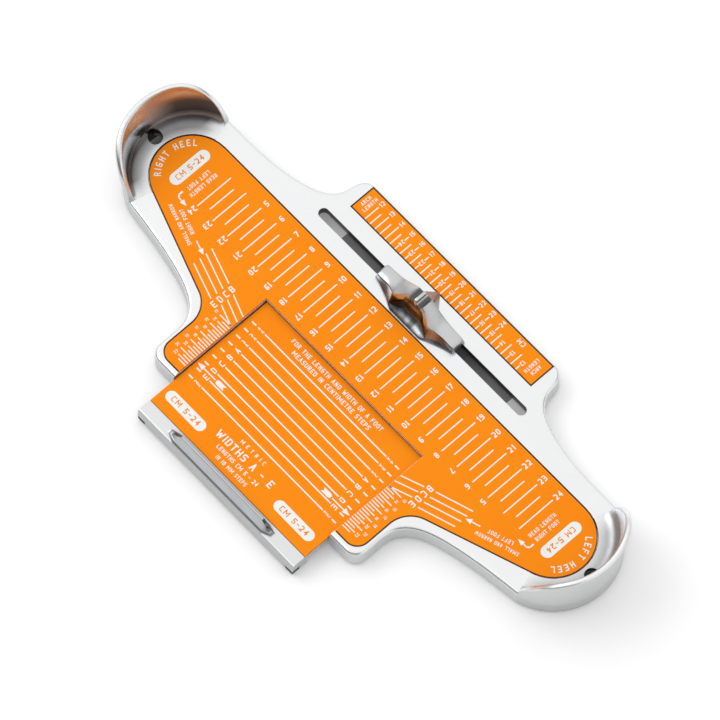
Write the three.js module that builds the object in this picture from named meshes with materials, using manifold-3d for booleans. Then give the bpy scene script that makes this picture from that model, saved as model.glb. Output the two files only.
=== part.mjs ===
// A junior foot measuring device, as an assembly of separate pieces.
// Millimetres, +Z up. The length of the foot runs along X, the width slide moves along Y.
// The right heel stands at -X, the left heel at +X, and the slide comes out towards -Y.
import * as THREE from "three";
import { ConvexGeometry } from "three/addons/geometries/ConvexGeometry.js";
import { mergeVertices } from "three/addons/utils/BufferGeometryUtils.js";
import Module from "manifold-3d";

const wasm = await Module();
wasm.setup();

// Clearances: FIT is left between pieces that rest on each other, RUN between pieces that slide.
const FIT = 0.3;
const RUN = 0.3;

// Heights of the base casting.
const DECK_TOP = 12;
const DECK_THICKNESS = 5;
const DECK_UNDERSIDE = DECK_TOP - DECK_THICKNESS;
const SKIRT_BOTTOM = 1.5;
const SKIRT_THICKNESS = 3;
const EDGE_ROUND = 2;
const PLATE_THICKNESS = 0.6;
const PLATE_RECESS = PLATE_THICKNESS + FIT;
const RECESS_FLOOR = DECK_TOP - PLATE_RECESS;

// The heels: one centre for the plate's round end and for the cup round it. The cup's wall leans
// outwards over the deck, so its rim is wider than its foot.
const HEEL_X = 117.7;
const HEEL_Y = -1.5;
const CUP_OUTER_RADIUS = 31.5;
const CUP_WALL = 3;
const CUP_INNER_RADIUS = CUP_OUTER_RADIUS - CUP_WALL;
const CUP_HEIGHT = 26;
const CUP_LEAN = Math.tan(THREE.MathUtils.degToRad(6.5));
const CUP_HALF_ANGLE = THREE.MathUtils.degToRad(73);
const CUP_LEVEL_ANGLE = THREE.MathUtils.degToRad(20);
const CUP_FILLET_WIDTH = 5;
const CUP_FILLET_HEIGHT = 4.2;
const CUP_FLOOR_WIDTH = 9;
const CUP_FLOOR_THICKNESS = 3;
const PLATE_END_RADIUS = CUP_INNER_RADIUS - CUP_FLOOR_WIDTH;
const HANGING_HOLE_RADIUS = 3.5;
const HANGING_HOLE_DISTANCE = CUP_INNER_RADIUS - 3.7;

// The slide's width sets the window's, and with it the place of the legs on both sides.
const SLIDE_HALF = 50.6;
const WINDOW_HALF = SLIDE_HALF + RUN;
const WINDOW_INNER_Y = -17.9;

// The toe plate and the margin of casting round it.
const TOE_EDGE_Y = HEEL_Y + PLATE_END_RADIUS;
const TOE_SLANT = THREE.MathUtils.degToRad(19.2);
const LEG_PLATE_WIDTH = 14;
const LEG_PLATE_X = WINDOW_HALF + LEG_PLATE_WIDTH;
const LEG_PLATE_Y = -69.9;
const LEG_PLATE_FILLET = 13.5;
const LEG_CORNER = 6.5;
const LEG_MARGIN_X = 2.5;
const LEG_MARGIN_Y = 3.3;
const LEG_X = LEG_PLATE_X + LEG_MARGIN_X;
const LEG_Y = LEG_PLATE_Y - LEG_MARGIN_Y;

// The arch scale and the pointer's slot.
const ARCH_PLATE_HALF = 58.7;
const ARCH_PLATE_NEAR = 40.1;
const ARCH_PLATE_FAR = 53.7;
const ARCH_MARGIN = 1.5;
const ARCH_EDGE_Y = ARCH_PLATE_FAR + ARCH_MARGIN;
const SLOT_Y = 28.95;
const SLOT_HALF_LENGTH = 66.9;
const SLOT_WIDTH = 5.1;

// The casting's edge between its fixed corners: the waists on the near and the far side of the heels,
// and the shoulder beside the arch scale.
const NEAR_WAIST = [LEG_X + 22.6, HEEL_Y - 36.2];
const FAR_WAIST = [ARCH_PLATE_HALF + 29.3, SLOT_Y + 1.95];
const SHOULDER = [ARCH_PLATE_HALF + 7.3, ARCH_EDGE_Y - 8.7];

// The width slide. Its rest place and its travel come from the marks that its arrows point at.
const SLIDE_DROP = 2.6;
const SLIDE_TOP = DECK_TOP - SLIDE_DROP;
const SLIDE_THICKNESS = 3.9;
const SLIDE_BOTTOM = SLIDE_TOP - SLIDE_THICKNESS;
const SLIDE_INNER_END = -7.3;
const WIDTH_MARK_FIRST = -38;
const WIDTH_MARK_LAST = -65.8;
const ARROW_REST_Y = -59.9;
const TRAVEL_SPARE = 0.5;
const TRAVEL_IN = WIDTH_MARK_FIRST - ARROW_REST_Y + TRAVEL_SPARE;
const TRAVEL_OUT = ARROW_REST_Y - WIDTH_MARK_LAST + TRAVEL_SPARE;
const TONGUE_WIDTH = 3.2;
const TONGUE_THICKNESS = 1.2;
const TONGUE_OUTER_END = -63.5;
const LUG_LENGTH = 3.5;
const LUG_DEPTH = 2.5;

// The rail at the slide's outer end and the fence on it.
const RAIL_INNER_Y = -87.3;
const RAIL_OUTER_Y = -94.6;
const RAIL_FOOT_Y = RAIL_OUTER_Y - 0.6;
const RAIL_BOTTOM = 2;
const RAIL_SKIRT = 2.6;
const FENCE_HEIGHT = 4.8;
const FENCE_HALF_TOP = 26.8;
const FENCE_HALF_FOOT = 28.6;
const FENCE_HALF_TOE = 33;
const FENCE_FAR_Y = RAIL_INNER_Y - 1.9;
const FENCE_NEAR_Y = RAIL_OUTER_Y + 1;

// The arch pointer.
const POINTER_REST_X = -1;
const POINTER_HALF = 25;
const POINTER_TOP = 15;
const POINTER_TAIL_TOP = 4.3;
const POINTER_FOOT_Y = -10.1;
const POINTER_TAIL_Y = -4.4;
const POINTER_TIP_Y = 11.4;
const POINTER_HORN = 12;
const POINTER_RIDGE_HALF = 5;
const GROOVE_SPACING = 5.5;
const GROOVE_RADIUS = 2.1;
const GROOVE_RISE = 0.4;
const STEM_HALF = 16.3;

// Reaches past the whole device, for blocks that cut right through it.
const BEYOND = 400;

// Screws and feet.
const THREAD_RADIUS = 1.5;
const THREAD_HOLE = THREAD_RADIUS + FIT;
const FOOT_RADIUS = 4;
const FOOT_HEIGHT = 3.2;
const FOOT_BOSS = 5.5;

// Colours.
const ALUMINIUM = { color: 0xd9dadc, metalness: 1, roughness: 0.28 };
const POLISHED = { color: 0xe4e5e7, metalness: 1, roughness: 0.12 };
const ORANGE = { color: 0xff8a12, metalness: 0, roughness: 0.35 };
const STEEL = { color: 0x9a9da2, metalness: 1, roughness: 0.35 };
const SPRING_STEEL = { color: 0x7f858d, metalness: 1, roughness: 0.3 };
const NYLON = { color: 0xe9e6da, metalness: 0, roughness: 0.5 };
const RUBBER = { color: 0x1c1c1e, metalness: 0, roughness: 0.8 };

// Turns a three.js geometry into a solid, facing outwards whichever way its faces were listed.
function toSolid(geometry) {
  const bare = geometry.clone();
  bare.deleteAttribute("normal");
  bare.deleteAttribute("uv");
  const merged = mergeVertices(bare, 1e-4);
  const points = merged.attributes.position.array;
  const corners = new Uint32Array(merged.index.array);
  const a = new THREE.Vector3();
  const b = new THREE.Vector3();
  const c = new THREE.Vector3();
  let volume = 0;
  for (let i = 0; i < corners.length; i += 3) {
    a.fromArray(points, corners[i] * 3);
    b.fromArray(points, corners[i + 1] * 3);
    c.fromArray(points, corners[i + 2] * 3);
    volume += a.dot(b.cross(c));
  }
  if (volume < 0) {
    for (let i = 0; i < corners.length; i += 3) {
      [corners[i + 1], corners[i + 2]] = [corners[i + 2], corners[i + 1]];
    }
  }
  const mesh = new wasm.Mesh({ numProp: 3, vertProperties: points, triVerts: corners });
  return new wasm.Manifold(mesh);
}

function toGeometry(solid) {
  const mesh = solid.getMesh();
  const geometry = new THREE.BufferGeometry();
  geometry.setAttribute("position", new THREE.BufferAttribute(new Float32Array(mesh.vertProperties), 3));
  geometry.setIndex(new THREE.BufferAttribute(new Uint32Array(mesh.triVerts), 1));
  geometry.computeVertexNormals();
  return geometry;
}

// A straight block between two heights over a flat outline; the bevel rounds its edges.
function prism(outline, bottom, top, bevel = 0, curveSegments = 8) {
  const geometry = new THREE.ExtrudeGeometry(outline, {
    depth: top - bottom - 2 * bevel,
    bevelEnabled: bevel > 0,
    bevelThickness: bevel,
    bevelSize: bevel,
    bevelOffset: -bevel,
    bevelSegments: 4,
    curveSegments,
  });
  geometry.translate(0, 0, bottom + bevel);
  return toSolid(geometry);
}

function box(x0, x1, y0, y1, z0, z1) {
  const geometry = new THREE.BoxGeometry(x1 - x0, y1 - y0, z1 - z0);
  geometry.translate((x0 + x1) / 2, (y0 + y1) / 2, (z0 + z1) / 2);
  return toSolid(geometry);
}

function rod(x, y, radius, bottom, top, sides = 24) {
  const geometry = new THREE.CylinderGeometry(radius, radius, top - bottom, sides);
  geometry.rotateX(Math.PI / 2);
  geometry.translate(x, y, (bottom + top) / 2);
  return toSolid(geometry);
}

// A turned body about the Z axis, from its half profile of [radius, height].
function turned(profile, x = 0, y = 0, sides = 20) {
  const points = profile.map(([r, z]) => new THREE.Vector2(r, z));
  const geometry = new THREE.LatheGeometry(points, sides);
  geometry.rotateX(Math.PI / 2);
  geometry.translate(x, y, 0);
  return toSolid(geometry);
}

function hull(points) {
  return toSolid(new ConvexGeometry(points.map(([x, y, z]) => new THREE.Vector3(x, y, z))));
}

// Skins a row of closed sections, each with the same number of points, and closes both ends.
function loft(sections, place) {
  const count = sections[0].length;
  const positions = [];
  const index = [];
  sections.forEach((section, i) => {
    section.forEach((point) => positions.push(...place(point, i)));
  });
  for (let i = 0; i + 1 < sections.length; i += 1) {
    for (let j = 0; j < count; j += 1) {
      const k = (j + 1) % count;
      const near = i * count;
      const far = near + count;
      index.push(near + j, near + k, far + k, near + j, far + k, far + j);
    }
  }
  const last = (sections.length - 1) * count;
  for (const [a, b, c] of THREE.ShapeUtils.triangulateShape(sections[0], [])) {
    index.push(c, b, a);
  }
  for (const [a, b, c] of THREE.ShapeUtils.triangulateShape(sections.at(-1), [])) {
    index.push(last + a, last + b, last + c);
  }
  const geometry = new THREE.BufferGeometry();
  geometry.setAttribute("position", new THREE.Float32BufferAttribute(positions, 3));
  geometry.setIndex(index);
  return toSolid(geometry);
}

// The points of a path and their mirror image in the YZ plane, as one closed outline.
function mirrored(path, divisions) {
  const half = path.getPoints(divisions);
  const back = half.map((p) => new THREE.Vector2(-p.x, p.y)).reverse();
  const points = [...half, ...back];
  return points.filter((p, i) => p.distanceTo(points[(i + 1) % points.length]) > 1e-6);
}

// Moves every corner of a closed outline inwards, square to its two sides.
function inset(points, distance) {
  return points.map((p, i) => {
    const before = p.clone().sub(points.at(i - 1)).normalize();
    const after = points[(i + 1) % points.length].clone().sub(p).normalize();
    const side = new THREE.Vector2(-before.y - after.y, before.x + after.x).normalize();
    const slope = side.y * before.x - side.x * before.y;
    return p.clone().addScaledVector(side, distance / slope);
  });
}

function capsule(halfLength, radius, x = 0, y = 0) {
  const shape = new THREE.Shape();
  const reach = halfLength - radius;
  shape.absarc(x + reach, y, radius, -Math.PI / 2, Math.PI / 2);
  shape.absarc(x - reach, y, radius, Math.PI / 2, Math.PI * 1.5);
  return shape;
}

// A piece of a flat ring about the right heel's centre, open towards the toes by the given half angle.
function heelSector(inner, outer, halfAngle, bottom, top) {
  const shape = new THREE.Shape();
  shape.absarc(-HEEL_X, HEEL_Y, outer, Math.PI - halfAngle, Math.PI + halfAngle);
  shape.absarc(-HEEL_X, HEEL_Y, inner, Math.PI + halfAngle, Math.PI - halfAngle, true);
  return prism(shape, bottom, top, 0, 18);
}

// Places on the right heel given by the distance from its centre and the angle off the long axis.
function heelPoint(distance, angle) {
  return [-HEEL_X - distance * Math.cos(angle), HEEL_Y + distance * Math.sin(angle)];
}

// The left heel's pieces are the right heel's, turned by half a turn about the middle of the heel line.
function turnToLeft(solid) {
  const geometry = toGeometry(solid);
  geometry.translate(0, -HEEL_Y, 0);
  geometry.rotateZ(Math.PI);
  geometry.translate(0, HEEL_Y, 0);
  return toSolid(geometry);
}

// Outlines.
function toePlateHalf() {
  const path = new THREE.Path();
  const tangentX = HEEL_X + PLATE_END_RADIUS * Math.sin(TOE_SLANT);
  const tangentY = HEEL_Y - PLATE_END_RADIUS * Math.cos(TOE_SLANT);
  const cornerY = tangentY - (tangentX - LEG_PLATE_X) * Math.tan(TOE_SLANT);
  const turn = Math.PI / 2 - TOE_SLANT;
  const filletY = cornerY - LEG_PLATE_FILLET * Math.tan(turn / 2);
  path.moveTo(0, LEG_PLATE_Y);
  path.lineTo(LEG_PLATE_X - LEG_CORNER, LEG_PLATE_Y);
  path.absarc(LEG_PLATE_X - LEG_CORNER, LEG_PLATE_Y + LEG_CORNER, LEG_CORNER, -Math.PI / 2, 0);
  const filletX = LEG_PLATE_X + LEG_PLATE_FILLET;
  path.absarc(filletX, filletY, LEG_PLATE_FILLET, Math.PI, Math.PI / 2 + TOE_SLANT, true);
  path.lineTo(tangentX, tangentY);
  path.absarc(HEEL_X, HEEL_Y, PLATE_END_RADIUS, TOE_SLANT - Math.PI / 2, Math.PI / 2);
  path.lineTo(0, TOE_EDGE_Y);
  return path;
}

function baseHalf() {
  const path = new THREE.Path();
  const endX = HEEL_X + CUP_OUTER_RADIUS * Math.cos(CUP_HALF_ANGLE);
  const endRise = CUP_OUTER_RADIUS * Math.sin(CUP_HALF_ANGLE);
  path.moveTo(0, LEG_Y);
  path.lineTo(LEG_X - LEG_CORNER, LEG_Y);
  path.absarc(LEG_X - LEG_CORNER, LEG_Y + LEG_CORNER, LEG_CORNER, -Math.PI / 2, 0);
  const [nearX, nearY] = NEAR_WAIST;
  const [farX, farY] = FAR_WAIST;
  const [shoulderX, shoulderY] = SHOULDER;
  const legSideTop = LEG_Y + 16.2;
  path.lineTo(LEG_X, legSideTop);
  path.bezierCurveTo(LEG_X, legSideTop + 11, nearX - 14, nearY - 3.5, nearX, nearY);
  path.bezierCurveTo(nearX + 12, nearY + 3, endX - 11.9, HEEL_Y - endRise - 1.4, endX, HEEL_Y - endRise);
  path.absarc(HEEL_X, HEEL_Y, CUP_OUTER_RADIUS, -CUP_HALF_ANGLE, CUP_HALF_ANGLE);
  path.bezierCurveTo(endX - 14.9, HEEL_Y + endRise, farX + 12, farY - 2.3, farX, farY);
  path.bezierCurveTo(farX - 14, farY + 3.1, shoulderX + 0.8, shoulderY - 9, shoulderX, shoulderY);
  path.bezierCurveTo(shoulderX - 0.5, shoulderY + 5, shoulderX - 3, ARCH_EDGE_Y, shoulderX - 8, ARCH_EDGE_Y);
  path.lineTo(0, ARCH_EDGE_Y);
  return path;
}

const toeOutline = mirrored(toePlateHalf(), 8);
const baseOutline = mirrored(baseHalf(), 10);

// Screws: countersunk with a slot, or with a flat round head.
function countersunk(x, y, bottom, top, radius, headRadius) {
  const cone = headRadius - radius;
  const body = turned([
    [0, bottom],
    [headRadius, bottom],
    [headRadius, bottom + 0.3],
    [radius, bottom + 0.3 + cone],
    [radius, top - 0.4],
    [radius - 0.4, top],
    [0, top],
  ], x, y, 16);
  return body.subtract(box(x - headRadius - 1, x + headRadius + 1, y - 0.4, y + 0.4, bottom - 1, bottom + 0.7));
}

function flatHead(x, y, bottom, seat, top, radius, headRadius) {
  const body = turned([
    [0, bottom],
    [headRadius - 0.5, bottom],
    [headRadius, bottom + 0.5],
    [headRadius, seat],
    [radius, seat],
    [radius, top - 0.4],
    [radius - 0.4, top],
    [0, top],
  ], x, y, 18);
  return body.subtract(box(x - headRadius - 1, x + headRadius + 1, y - 0.6, y + 0.6, bottom - 1, bottom + 0.9));
}

// Heel fixings: two cup screws on each side of the hanging hole.
const CUP_SCREW_ANGLE = THREE.MathUtils.degToRad(40);
const CUP_SCREW_DISTANCE = CUP_INNER_RADIUS - 5;
const CUP_BOSS_RADIUS = 3.2;
const LEDGE_TOP = DECK_TOP - CUP_FLOOR_THICKNESS - FIT;
const LEDGE_BOTTOM = 5.2;
const LEDGE_RADIUS = CUP_INNER_RADIUS - FIT;
const cupScrewPlaces = [-1, 1].map((side) => heelPoint(CUP_SCREW_DISTANCE, side * CUP_SCREW_ANGLE));
const hangingHolePlace = heelPoint(HANGING_HOLE_DISTANCE, 0);

// Guides under the legs of the base.
const TONGUE_EDGE = SLIDE_HALF + TONGUE_WIDTH;
const LAND_X = TONGUE_EDGE + RUN;
const LAND_WIDTH = 6.9;
const STRIP_OUTER_X = LAND_X + LAND_WIDTH;
const STRIP_INNER_X = WINDOW_HALF + 0.5;
const STRIP_TOP = SLIDE_BOTTOM - RUN;
const STRIP_THICKNESS = 2.6;
const STRIP_BOTTOM = STRIP_TOP - STRIP_THICKNESS;
const STRIP_INNER_END = SLIDE_INNER_END - LUG_LENGTH - TRAVEL_OUT - RUN;
const LEG_FOOT_PLACE = [LEG_X - 7.6, LEG_Y + 9.9];
const STRIP_OUTER_END = LEG_FOOT_PLACE[1] + FOOT_BOSS + 0.5;
const STOP_RIB_Y = SLIDE_INNER_END + TRAVEL_IN + RUN;
const GUIDE_SCREW_X = LAND_X + LAND_WIDTH / 2;
const guideScrewYs = [0.12, 0.5, 0.88].map((t) => THREE.MathUtils.lerp(STRIP_OUTER_END, STRIP_INNER_END, t));
const DRAG_SPRING_HALF = 11;
const DRAG_SPRING_Y = (STRIP_OUTER_END + STRIP_INNER_END) / 2;

// Feet: two on the legs, two by the arch scale, two near the heels.
const ARCH_FOOT_X = SHOULDER[0] - 8.5;
const HEEL_FOOT_X = HEEL_X + PLATE_END_RADIUS - 16.5;
const footPlaces = [
  [-LEG_FOOT_PLACE[0], LEG_FOOT_PLACE[1]],
  LEG_FOOT_PLACE,
  [-ARCH_FOOT_X, SHOULDER[1]],
  [ARCH_FOOT_X, SHOULDER[1]],
  [-HEEL_FOOT_X, HEEL_Y],
  [HEEL_FOOT_X, HEEL_Y],
];

function makeBase() {
  const outerShape = new THREE.Shape(baseOutline);
  const innerShape = new THREE.Shape(inset(baseOutline, SKIRT_THICKNESS));
  const below = SKIRT_BOTTOM - 6;
  let base = prism(outerShape, below, DECK_TOP, EDGE_ROUND);
  base = base.subtract(box(-BEYOND, BEYOND, -BEYOND, BEYOND, below - 1, SKIRT_BOTTOM));
  base = base.subtract(prism(innerShape, below, DECK_UNDERSIDE));

  // Bosses, ribs, lands and the ledges that carry the cups.
  const root = DECK_UNDERSIDE + 0.5;
  const ribBottom = 3;
  for (const [x, y] of footPlaces) {
    base = base.add(rod(x, y, FOOT_BOSS, SKIRT_BOTTOM, root));
  }
  for (const side of [-1, 1]) {
    const land = box(LAND_X, STRIP_OUTER_X, STRIP_OUTER_END, STRIP_INNER_END, STRIP_TOP + FIT, root);
    const guide = box(LAND_X, LAND_X + 3, STRIP_INNER_END - 1, STOP_RIB_Y + 1, STRIP_TOP + FIT, root);
    const lengthRib = box(LAND_X + 2.5, HEEL_X, HEEL_Y - 1, HEEL_Y + 1, ribBottom, root);
    const crossX = FAR_WAIST[0] - 4;
    const crossRib = box(crossX - 1, crossX + 1, NEAR_WAIST[1], FAR_WAIST[1] - 2, ribBottom, root);
    const block = land.add(guide).add(lengthRib).add(crossRib);
    base = base.add(side > 0 ? block : block.mirror([1, 0, 0]));
  }
  base = base.add(box(-LAND_X - 2, LAND_X + 2, STOP_RIB_Y, STOP_RIB_Y + 2.2, ribBottom, root));
  const archRibHalf = ARCH_PLATE_HALF + 1.3;
  base = base.add(
    box(-archRibHalf, archRibHalf, ARCH_PLATE_NEAR - 1.9, ARCH_PLATE_NEAR + 0.1, ribBottom, root),
  );
  const ledgeInner = PLATE_END_RADIUS - 4.5;
  const ledge = heelSector(ledgeInner, CUP_INNER_RADIUS, CUP_HALF_ANGLE + 0.03, LEDGE_BOTTOM, root);
  base = base.add(ledge).add(turnToLeft(ledge));

  // Room for the cup castings.
  const gap = FIT / CUP_INNER_RADIUS;
  const outside = 2 * CUP_OUTER_RADIUS;
  const floorRoom = heelSector(PLATE_END_RADIUS + 0.1, outside, CUP_HALF_ANGLE + gap, LEDGE_TOP, DECK_TOP + 5);
  const skirtRoom = heelSector(LEDGE_RADIUS, outside, CUP_HALF_ANGLE + gap, below, LEDGE_TOP + 0.1);
  let room = floorRoom.add(skirtRoom);
  for (const [x, y] of cupScrewPlaces) {
    room = room.add(rod(x, y, CUP_BOSS_RADIUS + FIT, below, DECK_TOP));
  }
  room = room.add(rod(...hangingHolePlace, HANGING_HOLE_RADIUS + 0.5, below, DECK_TOP));
  base = base.subtract(room).subtract(turnToLeft(room));

  // Recesses for the scale plates, the pointer's slot, the window and the slide's way in.
  base = base.subtract(prism(new THREE.Shape(inset(toeOutline, -FIT)), RECESS_FLOOR, DECK_TOP + 1));
  const archHalf = ARCH_PLATE_HALF + FIT;
  base = base.subtract(
    box(-archHalf, archHalf, ARCH_PLATE_NEAR - FIT, ARCH_PLATE_FAR + FIT, RECESS_FLOOR, DECK_TOP + 1),
  );
  base = base.subtract(prism(capsule(SLOT_HALF_LENGTH, SLOT_WIDTH / 2, 0, SLOT_Y), below, DECK_TOP + 1));
  base = base.subtract(box(-WINDOW_HALF, WINDOW_HALF, LEG_Y - 5, WINDOW_INNER_Y, below, DECK_TOP + 1));
  const wayTop = SLIDE_TOP + RUN;
  base = base.subtract(box(-WINDOW_HALF, WINDOW_HALF, LEG_Y - 5, STOP_RIB_Y, below, wayTop));

  // Sockets for the feet and holes for the guide screws.
  for (const [x, y] of footPlaces) {
    base = base.subtract(rod(x, y, FOOT_RADIUS + FIT, below, FOOT_HEIGHT + FIT));
  }
  for (const side of [-1, 1]) {
    for (const y of guideScrewYs) {
      base = base.subtract(rod(side * GUIDE_SCREW_X, y, THREAD_HOLE, below, RECESS_FLOOR - 1.2, 16));
    }
  }
  return base;
}

// The rim's height over the deck at an angle off the long axis: level at the back, falling to the ends.
function rimHeight(angle) {
  const past = Math.max(0, Math.abs(angle) - CUP_LEVEL_ANGLE);
  const t = Math.min(1, past / (CUP_HALF_ANGLE - CUP_LEVEL_ANGLE + 0.01));
  return Math.max(1, CUP_HEIGHT * (1 - t ** 2.6) ** 0.9);
}

// The cup's section at a rim height, as points of radius and height: up the leaning outside, over the
// rounded rim, down the inside, round the fillet and under the floor to the skirt.
function cupSection(height) {
  const top = DECK_TOP + height;
  const half = CUP_WALL / 2;
  const round = half * Math.min(1, height / 2.4);
  const fillet = CUP_FILLET_HEIGHT * Math.min(1, (height - round) / 6);
  const lean = (z) => (z - DECK_TOP) * CUP_LEAN;
  const floorEdge = PLATE_END_RADIUS + 0.4;
  const steps = 6;
  const points = [
    [CUP_OUTER_RADIUS - 0.6, SKIRT_BOTTOM],
    [CUP_OUTER_RADIUS, SKIRT_BOTTOM + 0.6],
    [CUP_OUTER_RADIUS, DECK_TOP],
  ];
  for (let i = 0; i <= steps; i += 1) {
    const turn = (Math.PI * i) / steps;
    const z = top - round * (1 - Math.sin(turn));
    points.push([CUP_OUTER_RADIUS - half + lean(z) + half * Math.cos(turn), z]);
  }
  for (let i = 0; i <= steps; i += 1) {
    const turn = (Math.PI * i) / (2 * steps);
    const z = DECK_TOP + fillet * (1 - Math.sin(turn));
    points.push([CUP_INNER_RADIUS + lean(z) - CUP_FILLET_WIDTH * (1 - Math.cos(turn)), z]);
  }
  points.push([floorEdge, DECK_TOP]);
  points.push([floorEdge, DECK_TOP - CUP_FLOOR_THICKNESS]);
  points.push([CUP_INNER_RADIUS, DECK_TOP - CUP_FLOOR_THICKNESS]);
  points.push([CUP_INNER_RADIUS, SKIRT_BOTTOM]);
  return points.map(([r, z]) => new THREE.Vector2(r, z));
}

function makeCup() {
  const steps = 32;
  const angles = [];
  for (let i = 0; i <= steps; i += 1) {
    const t = (2 * i) / steps - 1;
    angles.push(CUP_HALF_ANGLE * (0.5 * t + 0.5 * Math.sin((Math.PI / 2) * t)));
  }
  const sections = angles.map((angle) => cupSection(rimHeight(angle)));
  let cup = loft(sections, (p, i) => {
    const [x, y] = heelPoint(p.x, angles[i]);
    return [x, y, p.y];
  });
  for (const [x, y] of cupScrewPlaces) {
    cup = cup.add(rod(x, y, CUP_BOSS_RADIUS, LEDGE_BOTTOM + FIT, DECK_TOP - 1));
    cup = cup.subtract(rod(x, y, THREAD_HOLE, 0, DECK_TOP - 1.3, 16));
  }
  return cup.subtract(rod(...hangingHolePlace, HANGING_HOLE_RADIUS, 0, DECK_TOP + 8, 28));
}

function cupScrew([x, y]) {
  return flatHead(x, y, LEDGE_BOTTOM - 2.3, LEDGE_BOTTOM - FIT, DECK_TOP - 1.7, THREAD_RADIUS, 4.4);
}

function makeToePlate() {
  const plate = prism(new THREE.Shape(toeOutline), DECK_TOP - PLATE_THICKNESS, DECK_TOP);
  const opening = WINDOW_HALF + FIT;
  return plate.subtract(box(-opening, opening, LEG_PLATE_Y - 5, WINDOW_INNER_Y + FIT, 0, DECK_TOP + 5));
}

function makeArchPlate() {
  return box(
    -ARCH_PLATE_HALF, ARCH_PLATE_HALF, ARCH_PLATE_NEAR, ARCH_PLATE_FAR, DECK_TOP - PLATE_THICKNESS, DECK_TOP,
  );
}

// The rail's profile across the slide, as points of y and z: hollow, or filled for its ends.
function railShape(filled) {
  const shape = new THREE.Shape();
  const round = 1;
  shape.moveTo(RAIL_INNER_Y + 1, SLIDE_TOP);
  shape.lineTo(RAIL_OUTER_Y + round, SLIDE_TOP);
  shape.quadraticCurveTo(RAIL_OUTER_Y, SLIDE_TOP, RAIL_OUTER_Y, SLIDE_TOP - round);
  shape.lineTo(RAIL_FOOT_Y, RAIL_BOTTOM);
  if (filled) {
    shape.lineTo(RAIL_INNER_Y + 1, RAIL_BOTTOM);
  } else {
    shape.lineTo(RAIL_FOOT_Y + RAIL_SKIRT, RAIL_BOTTOM);
    shape.lineTo(RAIL_OUTER_Y + RAIL_SKIRT, SLIDE_BOTTOM);
    shape.lineTo(RAIL_INNER_Y + 1, SLIDE_BOTTOM);
  }
  return shape;
}

// A block along X with a profile given across it.
function barAlongX(shape, x0, x1) {
  const geometry = new THREE.ExtrudeGeometry(shape, { depth: x1 - x0, bevelEnabled: false, curveSegments: 4 });
  geometry.rotateX(Math.PI / 2);
  geometry.rotateZ(Math.PI / 2);
  geometry.translate(x0, 0, 0);
  return toSolid(geometry);
}

const PAD_SIZE = 4.4;
const PAD_TOP = RAIL_BOTTOM + 1.6;
const PAD_BOTTOM = 1;
const PAD_OUTER_X = SLIDE_HALF - 0.1;
const PAD_OUTER_Y = RAIL_FOOT_Y + 0.2;
const PAD_PEG = 1.1;
const PAD_PEG_X = PAD_OUTER_X - PAD_SIZE / 2;
const PAD_PEG_Y = PAD_OUTER_Y + PAD_SIZE / 2;

function makeSlide() {
  let slide = box(-SLIDE_HALF, SLIDE_HALF, RAIL_INNER_Y, SLIDE_INNER_END, SLIDE_BOTTOM, SLIDE_TOP);
  slide = slide.add(barAlongX(railShape(false), -SLIDE_HALF, SLIDE_HALF));
  for (const side of [-1, 1]) {
    const end = barAlongX(railShape(true), SLIDE_HALF - 7, SLIDE_HALF);
    const root = SLIDE_HALF - 0.2;
    const tongueTop = SLIDE_BOTTOM + TONGUE_THICKNESS;
    const tongue = box(root, TONGUE_EDGE, TONGUE_OUTER_END, SLIDE_INNER_END, SLIDE_BOTTOM, tongueTop);
    const lugEnd = SLIDE_INNER_END - LUG_LENGTH;
    const lug = box(root, TONGUE_EDGE, lugEnd, SLIDE_INNER_END, SLIDE_BOTTOM - LUG_DEPTH, tongueTop);
    const notch = box(
      PAD_OUTER_X - PAD_SIZE - FIT, SLIDE_HALF + 1, RAIL_FOOT_Y - 1, PAD_OUTER_Y + PAD_SIZE + FIT,
      0, PAD_TOP + FIT,
    );
    const pegHole = rod(PAD_PEG_X, PAD_PEG_Y, PAD_PEG + FIT, 0, PAD_TOP + 2.3, 12);
    const block = end.add(tongue).add(lug).subtract(notch).subtract(pegHole);
    const cut = notch.add(pegHole);
    slide = slide.subtract(side > 0 ? cut : cut.mirror([1, 0, 0]));
    slide = slide.add(side > 0 ? block : block.mirror([1, 0, 0]));
  }
  for (const share of [0.11, 0.47, 0.83]) {
    const y = THREE.MathUtils.lerp(SLIDE_INNER_END, RAIL_INNER_Y, share);
    const ribHalf = SLIDE_HALF - 4;
    slide = slide.add(box(-ribHalf, ribHalf, y - 1, y + 1, SLIDE_BOTTOM - 2, SLIDE_BOTTOM + 0.5));
  }
  slide = slide.add(makeFence());
  const recess = SLIDE_TOP - PLATE_RECESS;
  return slide.subtract(
    box(-BEYOND, BEYOND, SLIDE_PLATE_OUTER - FIT, SLIDE_INNER_END + 1, recess, SLIDE_TOP + 1),
  );
}

const SLIDE_PLATE_HALF = SLIDE_HALF - 0.1;
const SLIDE_PLATE_OUTER = RAIL_INNER_Y;

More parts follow.
